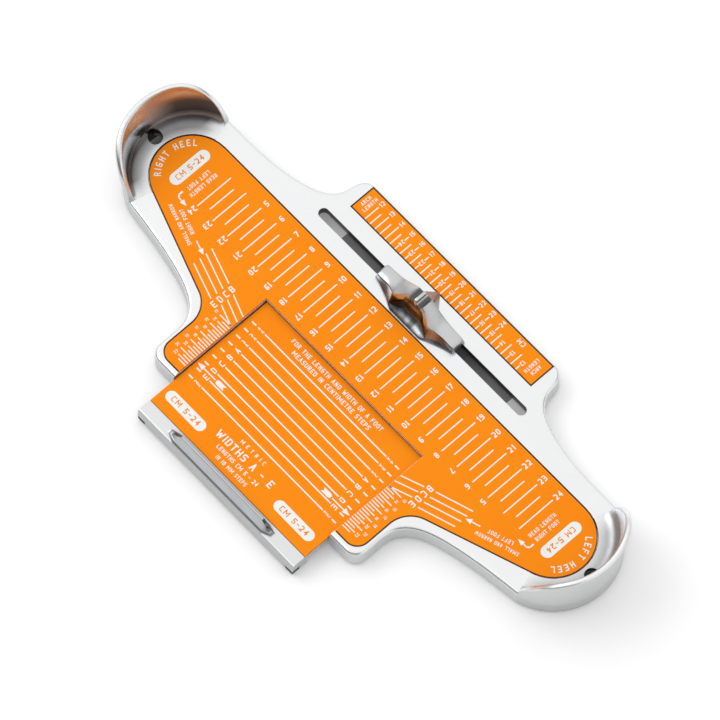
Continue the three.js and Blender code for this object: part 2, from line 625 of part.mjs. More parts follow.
// The fence: a long rib with a sloping outer face, ramped ends and a small fillet at its foot.
function makeFence() {
  const foot = SLIDE_TOP - 0.2;
  const top = SLIDE_TOP + FENCE_HEIGHT;
  const topFar = FENCE_FAR_Y - 0.3;
  const topNear = topFar - 1.4;
  const toeFar = FENCE_FAR_Y - 1;
  const toeNear = toeFar - 1.4;
  const points = [];
  const fillet = [];
  const rise = 0.8;
  for (const side of [-1, 1]) {
    points.push([side * FENCE_HALF_FOOT, FENCE_NEAR_Y, foot]);
    points.push([side * FENCE_HALF_FOOT, FENCE_FAR_Y, foot]);
    points.push([side * FENCE_HALF_TOE, toeFar, foot]);
    points.push([side * FENCE_HALF_TOE, toeNear, foot]);
    points.push([side * FENCE_HALF_TOP, topNear, top - 0.3]);
    points.push([side * (FENCE_HALF_TOP - 0.3), topNear + 0.3, top]);
    points.push([side * (FENCE_HALF_TOP - 0.3), topFar - 0.3, top]);
    points.push([side * FENCE_HALF_TOP, topFar, top - 0.3]);
    fillet.push([side * (FENCE_HALF_FOOT + 0.5), FENCE_NEAR_Y - 0.5, SLIDE_TOP]);
    fillet.push([side * (FENCE_HALF_FOOT + 0.5), FENCE_FAR_Y + 0.7, SLIDE_TOP]);
    fillet.push([side * (FENCE_HALF_TOE + 1), toeFar + 0.5, SLIDE_TOP]);
    fillet.push([side * (FENCE_HALF_TOE + 1), toeNear - 0.5, SLIDE_TOP]);
    fillet.push([side * (FENCE_HALF_FOOT - 0.2), FENCE_NEAR_Y + 0.5, SLIDE_TOP + rise]);
    fillet.push([side * (FENCE_HALF_FOOT - 0.2), FENCE_FAR_Y, SLIDE_TOP + rise]);
    fillet.push([side * (FENCE_HALF_TOE - 1.2), toeFar, SLIDE_TOP + rise]);
    fillet.push([side * (FENCE_HALF_TOE - 1.2), toeNear, SLIDE_TOP + rise]);
    fillet.push([side * FENCE_HALF_FOOT, FENCE_FAR_Y - 0.5, foot]);
    fillet.push([side * FENCE_HALF_FOOT, FENCE_NEAR_Y + 0.5, foot]);
  }
  return hull(points).add(hull(fillet));
}

function makeWidthPlate() {
  const end = SLIDE_INNER_END - 0.5;
  return box(
    -SLIDE_PLATE_HALF, SLIDE_PLATE_HALF, SLIDE_PLATE_OUTER, end, SLIDE_TOP - PLATE_THICKNESS, SLIDE_TOP,
  );
}

function makeRailPad(side) {
  const x0 = PAD_OUTER_X - PAD_SIZE;
  const pad = box(x0, PAD_OUTER_X, PAD_OUTER_Y, PAD_OUTER_Y + PAD_SIZE, PAD_BOTTOM, PAD_TOP);
  const peg = rod(PAD_PEG_X, PAD_PEG_Y, PAD_PEG, PAD_TOP - 0.5, PAD_TOP + 2, 12);
  const piece = pad.add(peg);
  return side > 0 ? piece : piece.mirror([1, 0, 0]);
}

function makeGuideStrip(side) {
  let strip = box(STRIP_INNER_X, STRIP_OUTER_X, STRIP_OUTER_END, STRIP_INNER_END, STRIP_BOTTOM, STRIP_TOP);
  for (const y of guideScrewYs) {
    const cone = turned([
      [0, STRIP_BOTTOM - 1],
      [3.4, STRIP_BOTTOM - 1],
      [3.4, STRIP_BOTTOM + 0.3],
      [THREAD_HOLE, STRIP_BOTTOM + 1.9],
      [THREAD_HOLE, STRIP_TOP + 1],
      [0, STRIP_TOP + 1],
    ], GUIDE_SCREW_X, y, 16);
    strip = strip.subtract(cone);
  }
  const half = DRAG_SPRING_HALF + 0.6;
  strip = strip.subtract(
    box(
      STRIP_INNER_X - 1, LAND_X + 0.1, DRAG_SPRING_Y - half, DRAG_SPRING_Y + half,
      STRIP_TOP - 1, STRIP_TOP + 1,
    ),
  );
  return side > 0 ? strip : strip.mirror([1, 0, 0]);
}

// A bowed leaf, thin in Z and bowed along its length, as a profile of length and height.
function bowShape(half, thickness, bottom, rise) {
  const shape = new THREE.Shape();
  const steps = 10;
  const at = (t) => bottom + rise * (1 - t * t);
  for (let i = 0; i <= steps; i += 1) {
    const t = (2 * i) / steps - 1;
    if (i === 0) {
      shape.moveTo(half * t, at(t));
    } else {
      shape.lineTo(half * t, at(t));
    }
  }
  for (let i = steps; i >= 0; i -= 1) {
    const t = (2 * i) / steps - 1;
    shape.lineTo(half * t, at(t) + thickness);
  }
  return shape;
}

function makeDragSpring(side) {
  const bottom = STRIP_TOP - 1 + FIT;
  const spring = barAlongX(bowShape(DRAG_SPRING_HALF, 0.35, bottom, 0.35), STRIP_INNER_X + FIT, LAND_X - 0.5);
  const placed = spring.translate([0, DRAG_SPRING_Y, 0]);
  return side > 0 ? placed : placed.mirror([1, 0, 0]);
}

function guideScrew(side, y) {
  const bottom = STRIP_BOTTOM + 0.1;
  return countersunk(side * GUIDE_SCREW_X, y, bottom, RECESS_FLOOR - 1.6, THREAD_RADIUS, 3.1);
}

// The pointer's height over the deck, its near foot line and its near top edge, along the slot.
function pointerTop(a) {
  return POINTER_TAIL_TOP + (POINTER_TOP - POINTER_TAIL_TOP) * Math.exp(-((a / 11.2) ** 1.9));
}

function pointerFoot(a) {
  const start = POINTER_RIDGE_HALF + 4.5;
  const t = THREE.MathUtils.clamp((a - start) / (POINTER_HALF - start), 0, 1);
  return THREE.MathUtils.lerp(POINTER_TAIL_Y, POINTER_FOOT_Y, (1 - t) ** 1.3);
}

function pointerNearEdge(a) {
  const ridgeY = -3.35;
  const hornY = POINTER_FOOT_Y + 4;
  const endY = POINTER_TAIL_Y + 0.5;
  if (a < POINTER_HORN) {
    return THREE.MathUtils.lerp(ridgeY, hornY, THREE.MathUtils.smoothstep(a, POINTER_RIDGE_HALF, POINTER_HORN));
  }
  const t = Math.min(1, (a - POINTER_HORN) / 7);
  return THREE.MathUtils.lerp(endY, hornY, (1 - t) ** 1.7);
}

// The scoop's edge: along the ridge's top, then down to the horn.
function scoopEdge(a) {
  const t = THREE.MathUtils.clamp((a - POINTER_RIDGE_HALF) / (POINTER_HORN - POINTER_RIDGE_HALF), 0, 1);
  const ridgeEdge = pointerNearEdge(0) - 0.25;
  const ridgeZ = pointerTop(Math.min(a, POINTER_RIDGE_HALF)) - 1;
  const hornEdge = pointerFoot(POINTER_HORN) + 0.5;
  return [THREE.MathUtils.lerp(ridgeEdge, hornEdge, t), THREE.MathUtils.lerp(ridgeZ, 1.7, t)];
}

function curvePoints(a, b, c, count) {
  const points = [];
  for (let i = 1; i <= count; i += 1) {
    const t = i / (count + 1);
    const u = 1 - t;
    points.push([
      u * u * a[0] + 2 * u * t * b[0] + t * t * c[0],
      u * u * a[1] + 2 * u * t * b[1] + t * t * c[1],
    ]);
  }
  return points;
}

// One section across the pointer at a distance from its middle, as points of y and z.
function pointerSection(a) {
  const end = THREE.MathUtils.clamp((a - POINTER_HALF + 1.2) / 1.2, 0, 1);
  const top = pointerTop(a) - 1.2 * end * end;
  const farTop = 3.1 - 0.4 * end;
  const farFoot = 3.6 - 0.2 * end;
  const nearTop = pointerNearEdge(a) + 0.4 * end;
  const footY = pointerFoot(a) + 0.2 * end;
  const footEdge = [footY + 0.3, 1.2];
  const topEdge = [nearTop, top - 0.6];
  let edge;
  let scoop;
  let flank;
  if (a < POINTER_HORN) {
    edge = scoopEdge(a);
    scoop = curvePoints(edge, [edge[0] - 0.05, 1.5], footEdge, 6);
    flank = curvePoints(topEdge, [(topEdge[0] + edge[0]) / 2, (topEdge[1] + edge[1]) / 2], edge, 3);
  } else {
    const control = [
      THREE.MathUtils.lerp(footEdge[0], topEdge[0], 0.6),
      THREE.MathUtils.lerp(footEdge[1], topEdge[1], 0.3),
    ];
    const whole = curvePoints(topEdge, control, footEdge, 10);
    flank = whole.slice(0, 3);
    edge = whole[3];
    scoop = whole.slice(4);
  }
  const points = [
    [farFoot, 0],
    [farFoot, 1],
    [farTop, top - 0.8],
    [farTop - 0.18, top - 0.25],
    [farTop - 0.6, top],
    [nearTop + 0.6, top],
    [nearTop + 0.18, top - 0.18],
    topEdge,
    ...flank,
    edge,
    ...scoop,
    footEdge,
    [footY, 0.8],
    [footY, 0],
  ];
  return points.map(([y, z]) => new THREE.Vector2(y, z));
}

const POINTER_BASE = DECK_TOP + FIT;
const SHOE_HALF = 15;
const SHOE_HALF_WIDTH = 7;
const SHOE_RIB_HALF = 9.5;
const SHOE_RIB_HALF_WIDTH = 2;
const SHOE_SCREW_X = 6.5;
const SHOE_BOTTOM = 2.6;
const SHOE_FLANGE_TOP = 4.9;
const SHOE_TOP = 6.3;
const STEM_BOTTOM = SHOE_TOP + FIT;
const SMALL_THREAD = 1.2;

function makePointer() {
  const halfStations = [
    0, 1.3, 2.6, 3.8, POINTER_RIDGE_HALF, 5.8, 6.6, 7.5, 8.4, 9.3, 10.2, 11.1,
    POINTER_HORN - 0.05, POINTER_HORN + 0.5, 13.3, 14.2, 15.3, 16.6, 18.2, 20, 22, 23.8, 24.3, 24.7, POINTER_HALF,
  ];
  const stations = [...halfStations.slice(1).reverse().map((a) => -a), ...halfStations];
  let pointer = loft(
    stations.map((x) => pointerSection(Math.abs(x))),
    (p, i) => [stations[i], p.x, p.y],
  );
  // The beak that points at the arch scale: a narrow crest on a wide foot.
  const tip = [
    [-0.4, POINTER_TIP_Y, 0], [0.4, POINTER_TIP_Y, 0],
    [-0.25, POINTER_TIP_Y - 0.1, 1.5], [0.25, POINTER_TIP_Y - 0.1, 1.5],
  ];
  pointer = pointer.add(hull([
    [-4.6, 2.5, 0], [4.6, 2.5, 0], [-2.6, 2.2, 12.6], [2.6, 2.2, 12.6], ...tip,
  ]));
  pointer = pointer.add(hull([
    [-8, 3.2, 0], [8, 3.2, 0], [-8, 3.2, 0.7], [8, 3.2, 0.7], [-4.6, 2.6, 5.6], [4.6, 2.6, 5.6], ...tip,
  ]));
  // Two finger grooves across the ridge.
  const grooveX = GROOVE_SPACING / 2;
  for (const x of [-grooveX, grooveX]) {
    const groove = new THREE.CylinderGeometry(GROOVE_RADIUS, GROOVE_RADIUS, 20, 28);
    const cutter = toSolid(groove).translate([x, 0, pointerTop(grooveX) + GROOVE_RISE]);
    pointer = pointer.subtract(cutter);
  }
  const stemWidth = SLOT_WIDTH - 2 * RUN;
  pointer = pointer.add(prism(capsule(STEM_HALF, stemWidth / 2), STEM_BOTTOM - POINTER_BASE, 1));
  for (const x of [-SHOE_SCREW_X, SHOE_SCREW_X]) {
    pointer = pointer.subtract(rod(x, 0, SMALL_THREAD + FIT, -10, 1.5, 12));
  }
  return pointer.translate([POINTER_REST_X, SLOT_Y, POINTER_BASE]);
}

function makeShoe() {
  let shoe = box(-SHOE_HALF, SHOE_HALF, -SHOE_HALF_WIDTH, SHOE_HALF_WIDTH, SHOE_BOTTOM, SHOE_FLANGE_TOP);
  shoe = shoe.add(
    box(
      -SHOE_RIB_HALF, SHOE_RIB_HALF, -SHOE_RIB_HALF_WIDTH, SHOE_RIB_HALF_WIDTH,
      SHOE_FLANGE_TOP - 0.5, SHOE_TOP,
    ),
  );
  for (const x of [-SHOE_SCREW_X, SHOE_SCREW_X]) {
    shoe = shoe.subtract(turned([
      [0, SHOE_BOTTOM - 1],
      [2.7, SHOE_BOTTOM - 1],
      [2.7, SHOE_BOTTOM + 0.4],
      [SMALL_THREAD + FIT, SHOE_BOTTOM + 1.6],
      [SMALL_THREAD + FIT, SHOE_TOP + 1],
      [0, SHOE_TOP + 1],
    ], x, 0, 16));
  }
  return shoe.translate([POINTER_REST_X, SLOT_Y, 0]);
}

function makePointerSpring() {
  const leaf = 0.4;
  const halfLength = SHOE_HALF - 2;
  const halfWidth = SHOE_HALF_WIDTH - 0.8;
  const slotHalf = SHOE_RIB_HALF + 0.4;
  const slotHalfWidth = SHOE_RIB_HALF_WIDTH + 0.4;
  const rise = DECK_UNDERSIDE - SHOE_FLANGE_TOP - 2 * FIT - leaf;
  const bow = bowShape(halfLength, leaf, SHOE_FLANGE_TOP + FIT, rise);
  const geometry = new THREE.ExtrudeGeometry(bow, { depth: 2 * halfWidth, bevelEnabled: false });
  geometry.rotateX(Math.PI / 2);
  geometry.translate(0, halfWidth, 0);
  const opening = box(-slotHalf, slotHalf, -slotHalfWidth, slotHalfWidth, 0, DECK_TOP);
  const spring = toSolid(geometry).subtract(opening);
  return spring.translate([POINTER_REST_X, SLOT_Y, 0]);
}

function pointerScrew(side) {
  const x = POINTER_REST_X + side * SHOE_SCREW_X;
  return countersunk(x, SLOT_Y, SHOE_BOTTOM + 0.1, POINTER_BASE + 1, SMALL_THREAD, 2.4);
}

function makeFoot([x, y]) {
  return turned([
    [0, 0],
    [FOOT_RADIUS - 0.6, 0],
    [FOOT_RADIUS, 0.6],
    [FOOT_RADIUS, FOOT_HEIGHT],
    [0, FOOT_HEIGHT],
  ], x, y, 24);
}

// The assembly. Its middle in X, its middle in Y and the floor meet in the group's origin.
const device = new THREE.Group();
device.name = "foot_measuring_device";
device.position.y = -(RAIL_FOOT_Y + ARCH_EDGE_Y) / 2;

function addPiece(name, solid, material) {
  const mesh = new THREE.Mesh(toGeometry(solid), new THREE.MeshStandardMaterial(material));
  mesh.name = name;
  device.add(mesh);
}

const cup = makeCup();
addPiece("base_casting", makeBase(), ALUMINIUM);
addPiece("right_heel_cup", cup, POLISHED);
addPiece("left_heel_cup", turnToLeft(cup), POLISHED);
cupScrewPlaces.forEach((place, i) => {
  const screw = cupScrew(place);
  addPiece(`right_cup_screw_${"ab"[i]}`, screw, STEEL);
  addPiece(`left_cup_screw_${"ab"[i]}`, turnToLeft(screw), STEEL);
});
addPiece("toe_scale_plate", makeToePlate(), ORANGE);
addPiece("arch_scale_plate", makeArchPlate(), ORANGE);
addPiece("width_slide", makeSlide(), ALUMINIUM);
addPiece("width_scale_plate", makeWidthPlate(), ORANGE);
for (const [word, side] of [["left", -1], ["right", 1]]) {
  addPiece(`rail_pad_${word}`, makeRailPad(side), RUBBER);
  addPiece(`guide_strip_${word}`, makeGuideStrip(side), NYLON);
  addPiece(`drag_spring_${word}`, makeDragSpring(side), SPRING_STEEL);
  guideScrewYs.forEach((y, i) => addPiece(`guide_screw_${word}_${"abc"[i]}`, guideScrew(side, y), STEEL));
  addPiece(`pointer_screw_${word}`, pointerScrew(side), STEEL);
}
addPiece("arch_pointer", makePointer(), POLISHED);
addPiece("pointer_shoe", makeShoe(), NYLON);
addPiece("pointer_spring", makePointerSpring(), SPRING_STEEL);
footPlaces.forEach((place, i) => addPiece(`foot_${i + 1}`, makeFoot(place), RUBBER));

export default device;
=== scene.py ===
"""Junior foot measuring device: the finish of its castings, the printed scales and the studio.

Lengths are in metres. A drawing of the deck, in millimetres, places the printed marks: its
origin is the middle of the toe scale, X runs towards the left heel and Y towards the arch scale.
"""
import math

import bmesh
import bpy
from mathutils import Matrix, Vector


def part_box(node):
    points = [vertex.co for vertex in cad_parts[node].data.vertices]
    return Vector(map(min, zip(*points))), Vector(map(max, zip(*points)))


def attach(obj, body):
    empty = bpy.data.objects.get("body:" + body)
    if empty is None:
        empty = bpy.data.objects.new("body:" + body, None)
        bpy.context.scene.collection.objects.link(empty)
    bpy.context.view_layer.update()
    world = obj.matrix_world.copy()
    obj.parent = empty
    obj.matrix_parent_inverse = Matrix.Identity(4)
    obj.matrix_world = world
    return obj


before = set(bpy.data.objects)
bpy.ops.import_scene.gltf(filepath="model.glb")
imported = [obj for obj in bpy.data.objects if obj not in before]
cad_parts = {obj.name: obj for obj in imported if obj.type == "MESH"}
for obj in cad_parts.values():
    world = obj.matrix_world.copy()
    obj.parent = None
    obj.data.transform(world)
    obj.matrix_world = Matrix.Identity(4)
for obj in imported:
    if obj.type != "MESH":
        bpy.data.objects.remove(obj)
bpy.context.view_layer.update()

bl_info = {
    "name": "Foot measuring device",
    "version": (1, 0, 0),
    "blender": (4, 5, 0),
    "location": "3D View > Sidebar > Foot measure",
    "description": "Finishes a junior foot measuring device and sets up its studio",
    "category": "Object",
}

MM = 0.001
SIDES = (-1, 1)

# Places read from the fixed frame.
_, PLATE_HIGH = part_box("toe_scale_plate")
_, SLIDE_PLATE_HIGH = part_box("width_scale_plate")
CUP_LOW, CUP_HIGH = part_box("right_heel_cup")
SCREW_LOW, SCREW_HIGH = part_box("pointer_screw_left")
POINTER_LOW, POINTER_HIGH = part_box("arch_pointer")
DECK_TOP = PLATE_HIGH.z
SLIDE_TOP = SLIDE_PLATE_HIGH.z
CUP_RISE = CUP_HIGH.z - DECK_TOP
HEEL_LINE_Y = (CUP_LOW.y + CUP_HIGH.y) / 2
SLOT_Y = (SCREW_LOW.y + SCREW_HIGH.y) / 2
POINTER_X = (POINTER_LOW.x + POINTER_HIGH.x) / 2

# The deck drawing, in millimetres. The toe scale lies a little towards the arch scale from the
# line between the heels, and both heels' arcs have their centres on that line.
TOE_SCALE_OFFSET = 1.5
DRAWING_Y = HEEL_LINE_Y + TOE_SCALE_OFFSET * MM
PLATE_END_RADIUS = 19.5
HEEL_X = PLATE_HIGH.x / MM - PLATE_END_RADIUS
CUP_RADIUS = 31.5
CUP_HALF_ANGLE = math.radians(73)
JOINT_WIDTH = 0.36
WINDOW_HALF = SLIDE_PLATE_HIGH.x / MM + 0.4
WINDOW_INNER_Y = -17.9
SLOT_HALF = 80
GROOVE_OFFSET = 2.75
# Half width, near side and far side of rectangles well inside the deck's outline, where the floor
# under the deck has a painted shadow.
SHADOWED_FLOOR_PATCHES = ((146, -12, 9), (148.4, -4.5, 3.5), (54, -66, 52))

# The toe scale: whole sizes are one step apart, and size 0 would lie this far from the middle.
FIRST_SIZE, LAST_SIZE = 5, 24
SIZE_STEP = 10
SIZE_ZERO_X = 135
PILL_WORDS = f"CM {FIRST_SIZE}-{LAST_SIZE}"

# How far the print floats over its plate, and gaps that count as none: in a stored mesh, in
# metres, and in a letter one unit high.
PRINT_GAP = 0.01 * MM
SEAM = 2e-6
SAME_PLACE = 1e-5


def drawing(point):
    """A place in the frame, given in the drawing's millimetres."""
    return point[0] * MM, DRAWING_Y + point[1] * MM


# Settings that a user would change.


class FOOTMEASURE_PG_finish(bpy.types.PropertyGroup):
    """Colours and surface of the device."""

    orange: bpy.props.FloatVectorProperty(
        name="Plate orange", description="Colour of the printed plates",
        subtype="COLOR", size=3, min=0, max=1, default=(0.975, 0.256, 0.002))
    ink: bpy.props.FloatVectorProperty(
        name="Pale ink", description="Colour of the scale marks",
        subtype="COLOR", size=3, min=0, max=1, default=(0.86, 0.9, 0.87))
    keyline: bpy.props.FloatVectorProperty(
        name="Keyline", description="Colour of the dark line round each plate",
        subtype="COLOR", size=3, min=0, max=1, default=(0.018, 0.012, 0.009))
    aluminium: bpy.props.FloatVectorProperty(
        name="Aluminium", description="Colour of the castings",
        subtype="COLOR", size=3, min=0, max=1, default=(0.86, 0.865, 0.87))
    casting_roughness: bpy.props.FloatProperty(
        name="Casting roughness", description="Roughness of the polished casting",
        subtype="FACTOR", min=0, max=1, default=0.24)
    cup_roughness: bpy.props.FloatProperty(
        name="Cup roughness", description="Roughness of the heel cups' rims and floors",
        subtype="FACTOR", min=0, max=1, default=0.13)
    pointer_roughness: bpy.props.FloatProperty(
        name="Pointer roughness", description="Roughness of the arch pointer",
        subtype="FACTOR", min=0, max=1, default=0.22)
    edge_round: bpy.props.FloatProperty(
        name="Edge rounding", description="Radius left on the castings' machined edges",
        subtype="DISTANCE", min=0, max=0.001, default=0.00025)


class FOOTMEASURE_PG_print(bpy.types.PropertyGroup):
    """Sizes of the printed marks."""

    line: bpy.props.FloatProperty(
        name="Line width", description="Width of the scale lines",
        subtype="DISTANCE", min=0.0001, max=0.002, default=0.00055)
    keyline: bpy.props.FloatProperty(
        name="Keyline width", description="Width of the dark line round each plate",
        subtype="DISTANCE", min=0.0001, max=0.002, default=0.0004)
    ink: bpy.props.FloatProperty(
        name="Ink thickness", description="Height of the print over the plate",
        subtype="DISTANCE", min=0.00001, max=0.0002, default=0.00004)
    size_digit: bpy.props.FloatProperty(
        name="Size digits", description="Height of the toe scale's numbers",
        subtype="DISTANCE", min=0.001, max=0.01, default=0.0029)


class FOOTMEASURE_PG_studio(bpy.types.PropertyGroup):
    """Camera and light."""

    azimuth: bpy.props.FloatProperty(
        name="Azimuth", description="Where the camera stands round the device",
        subtype="ANGLE", default=math.radians(47.48))
    elevation: bpy.props.FloatProperty(
        name="Elevation", description="The camera's angle over the floor",
        subtype="ANGLE", default=math.radians(67.03))
    distance: bpy.props.FloatProperty(
        name="Distance", description="From the camera to the deck",
        subtype="DISTANCE", default=3.994)
    width: bpy.props.FloatProperty(
        name="Picture width", description="Width of the picture at the deck",
        subtype="DISTANCE", default=0.31792)
    aside: bpy.props.FloatVectorProperty(
        name="Aside", description="The picture's middle, right of and over the toe scale's",
        subtype="TRANSLATION", size=2, default=(-0.006114, -0.003547))
    sky: bpy.props.FloatProperty(
        name="Sky strength", description="Strength of the light from over and behind the device",
        min=0, max=4, default=1.02)
    gloom: bpy.props.FloatProperty(
        name="Gloom", description="What is left of the sky on the camera's side",
        subtype="FACTOR", min=0, max=1, default=0.2)
    lamp: bpy.props.FloatProperty(
        name="Lamp power", description="Power of the large soft lamp",
        subtype="POWER", min=0, max=500, default=9)
    floor: bpy.props.FloatVectorProperty(
        name="Floor", description="Colour of the floor",
        subtype="COLOR", size=3, min=0, max=1, default=(0.9, 0.9, 0.9))


def finish_settings():
    return bpy.context.scene.footmeasure_finish


def print_settings():
    return bpy.context.scene.footmeasure_print


# Materials.


class Nodes:
    """The node tree of a material or a world, with short ways to add a node and to link it."""

    def __init__(self, owner):
        owner.use_nodes = True
        self.nodes = owner.node_tree.nodes
        self.links = owner.node_tree.links
        self.places = self.nodes.new("ShaderNodeTexCoord").outputs

    def node(self, kind, values, **settings):
        made = self.nodes.new(kind)
        for name, value in settings.items():
            setattr(made, name, value)
        for name, value in values.items():
            if isinstance(value, bpy.types.NodeSocket):
                self.links.new(value, made.inputs[name])
            else:
                made.inputs[name].default_value = value
        return made

    def ramp(self, value, low, high, to_low=0.0, to_high=1.0, easing="LINEAR"):
        made = self.node("ShaderNodeMapRange", {
            "Value": value, "From Min": low, "From Max": high, "To Min": to_low, "To Max": to_high,
        }, interpolation_type=easing)
        return made.outputs["Result"]

    def rest(self, share):
        """What a share leaves of 1."""
        return self.ramp(share, 0, 1, 1, 0)

    def maths(self, operation, *values):
        return self.node("ShaderNodeMath", dict(enumerate(values)), operation=operation).outputs[0]

    def both(self, a, b):
        return self.maths("MULTIPLY", a, b)

    def either(self, a, b):
        return self.maths("MAXIMUM", a, b)

    def vector(self, operation, *values, output="Vector"):
        made = self.node("ShaderNodeVectorMath", dict(enumerate(values)), operation=operation)
        return made.outputs[output]

    def axis(self, vector, letter):
        """The X, Y or Z of a vector."""
        return self.node("ShaderNodeSeparateXYZ", {0: vector}).outputs[letter]

    def blend(self, factor, a, b):
        """From a to b. Each is a number, a colour with its alpha or an output."""
        kinds = [getattr(value, "type", type(value)) for value in (a, b)]
        colours = any(kind in (tuple, "RGBA", "VECTOR") for kind in kinds)
        slots = (6, 7) if colours else (2, 3)
        made = self.node("ShaderNodeMix", {0: factor, slots[0]: a, slots[1]: b},
                         data_type="RGBA" if colours else "FLOAT")
        return made.outputs[2 if colours else 0]

    def mix(self, factor, a, b):
        """From one plain colour to another."""
        return self.blend(factor, (*a, 1), (*b, 1))


class Finish(Nodes):
    """A material, with its patterns in the piece's own coordinates."""

    def __init__(self, name, colour, metallic, roughness):
        self.material = bpy.data.materials.new(name)
        super().__init__(self.material)
        self.point = self.places["Object"]
        self.shader = self.nodes["Principled BSDF"]
        self.set("Base Color", (*colour, 1))
        self.set("Metallic", metallic)
        self.set("Roughness", roughness)

    def set(self, socket, value):
        self.shader.inputs[socket].default_value = value

    def surface(self, colour, roughness, normal):
        """Joins the outputs that make the surface, and gives the material."""
        for socket, value in (("Base Color", colour), ("Roughness", roughness), ("Normal", normal)):
            self.links.new(value, self.shader.inputs[socket])
        return self.material

    def noise(self, size, detail=3, stretch=(1, 1, 1), turn=0.0):
        """Noise whose lumps are about size across, drawn out along an axis by stretch."""
        mapping = self.node("ShaderNodeMapping", {
            "Vector": self.point,
            "Rotation": (0, 0, turn),
            "Scale": [1 / (size * s) for s in stretch],
        })
        values = {"Vector": mapping.outputs[0], "Scale": 1, "Detail": detail}
        return self.node("ShaderNodeTexNoise", values).outputs["Fac"]

    def patch(self, half_x, middle_y, half_y):
        """1 over a rectangle in plan, as wide to the left as to the right, and 0 round it."""
        across = self.maths("COMPARE", self.axis(self.point, "X"), 0, half_x)
        along = self.maths("COMPARE", self.axis(self.point, "Y"), middle_y, half_y)
        return self.both(across, along)

    def scratches(self, spacing, turn, share):
        """Thin straight lines, one way: 1 on a line and 0 between."""
        drawn = self.noise(spacing, 2, (1, 45, 1), turn)
        return self.ramp(drawn, share, share + 0.03)

    def bump(self, height, distance, strength=1.0, normal=None):
        values = {"Height": height, "Distance": distance, "Strength": strength}
        if normal is not None:
            values["Normal"] = normal
        return self.node("ShaderNodeBump", values).outputs[0]


def shade(colour, factor):
    return tuple(min(1.0, c * factor) for c in colour)


# The Z of a face's normal at which a finish starts, and at which it is the only one.
CAST_UNDER = -0.3, -0.6
SATIN_SIDE = 0.62, 0.3


def casting_finish(name, colour, roughness, marks, wave=0.0, shade_reach=4 * MM, dulled=None):
    """Aluminium that is polished on top, satin on its sides and left as cast underneath.

    Marks is the roughness that scratches add, and wave is the height of the slow unevenness that hand
    polishing leaves. Corners darken as painted shade where their walls stand nearer than the given
    reach. The last argument gives, from the surface's normal, the share of a place that takes painted
    shade and reflection, the tint painted there, and its roughness.
    """
    made = Finish(name, colour, 1.0, roughness)
    normal = made.node("ShaderNodeNewGeometry", {}).outputs["Normal"]
    up = made.axis(normal, "Z")
    under = made.ramp(up, *CAST_UNDER)
    satin = made.ramp(up, *SATIN_SIDE)
    grain = made.noise(0.35 * MM, 4)
    cloud = made.noise(14 * MM, 3)
    smear = made.noise(5 * MM, 2, (1, 1, 0.4))
    lines = made.either(made.scratches(0.5 * MM, 0.6, 0.71), made.scratches(0.6 * MM, -0.9, 0.72))
    gloss = made.maths("ADD", made.ramp(cloud, 0.3, 0.7, roughness - 0.04, roughness + 0.05),
                       made.ramp(lines, 0, 1, 0, marks))
    tone = made.mix(made.ramp(cloud, 0.35, 0.75), colour, shade(colour, 0.96))
    satin_tone = made.mix(made.ramp(smear, 0.3, 0.75), shade(colour, 0.70), shade(colour, 0.76))
    # Painted shade and reflection: the colour takes a tint where the last argument asks.
    if dulled:
        share, painted_tint, rough = dulled(made, normal)
        satin = made.both(satin, made.rest(share))
        streaks = made.ramp(smear, 0.25, 0.75, -0.03, 0.08)
        gloss = made.blend(share, gloss, made.maths("ADD", rough, streaks))
        tone = made.blend(share, tone, made.vector("MULTIPLY", tone, painted_tint))
    gloss = made.blend(satin, gloss, made.ramp(smear, 0.25, 0.75, 0.4, 0.5))
    gloss = made.blend(under, gloss, made.ramp(grain, 0.2, 0.8, 0.5, 0.66))
    tone = made.blend(under, made.blend(satin, tone, satin_tone), (*shade(colour, 0.42), 1))
    # Painted shade: the colour darkens in corners and recesses, read from ambient occlusion.
    occlusion = made.node("ShaderNodeAmbientOcclusion", {"Distance": shade_reach}, samples=6, only_local=True)
    unshaded = made.ramp(occlusion.outputs["AO"], 0.42, 0.93, 0.14, 1)
    shaded_tone = made.node("ShaderNodeVectorMath", {0: tone, "Scale": unshaded}, operation="SCALE")
    waves = made.bump(made.noise(7 * MM, 1), wave)
    scored = made.bump(made.rest(lines), 0.004 * MM, 0.15, waves)
    return made.surface(shaded_tone.outputs[0], gloss, made.bump(grain, 0.06 * MM, under, scored))


def grey(tone, warmth=0.0):
    """A tint for painted shade and reflection, as what it leaves of the metal's colour, with a
    positive warmth towards red.
    """
    return (tone * (1 + warmth), tone, tone * (1 - warmth), 1)


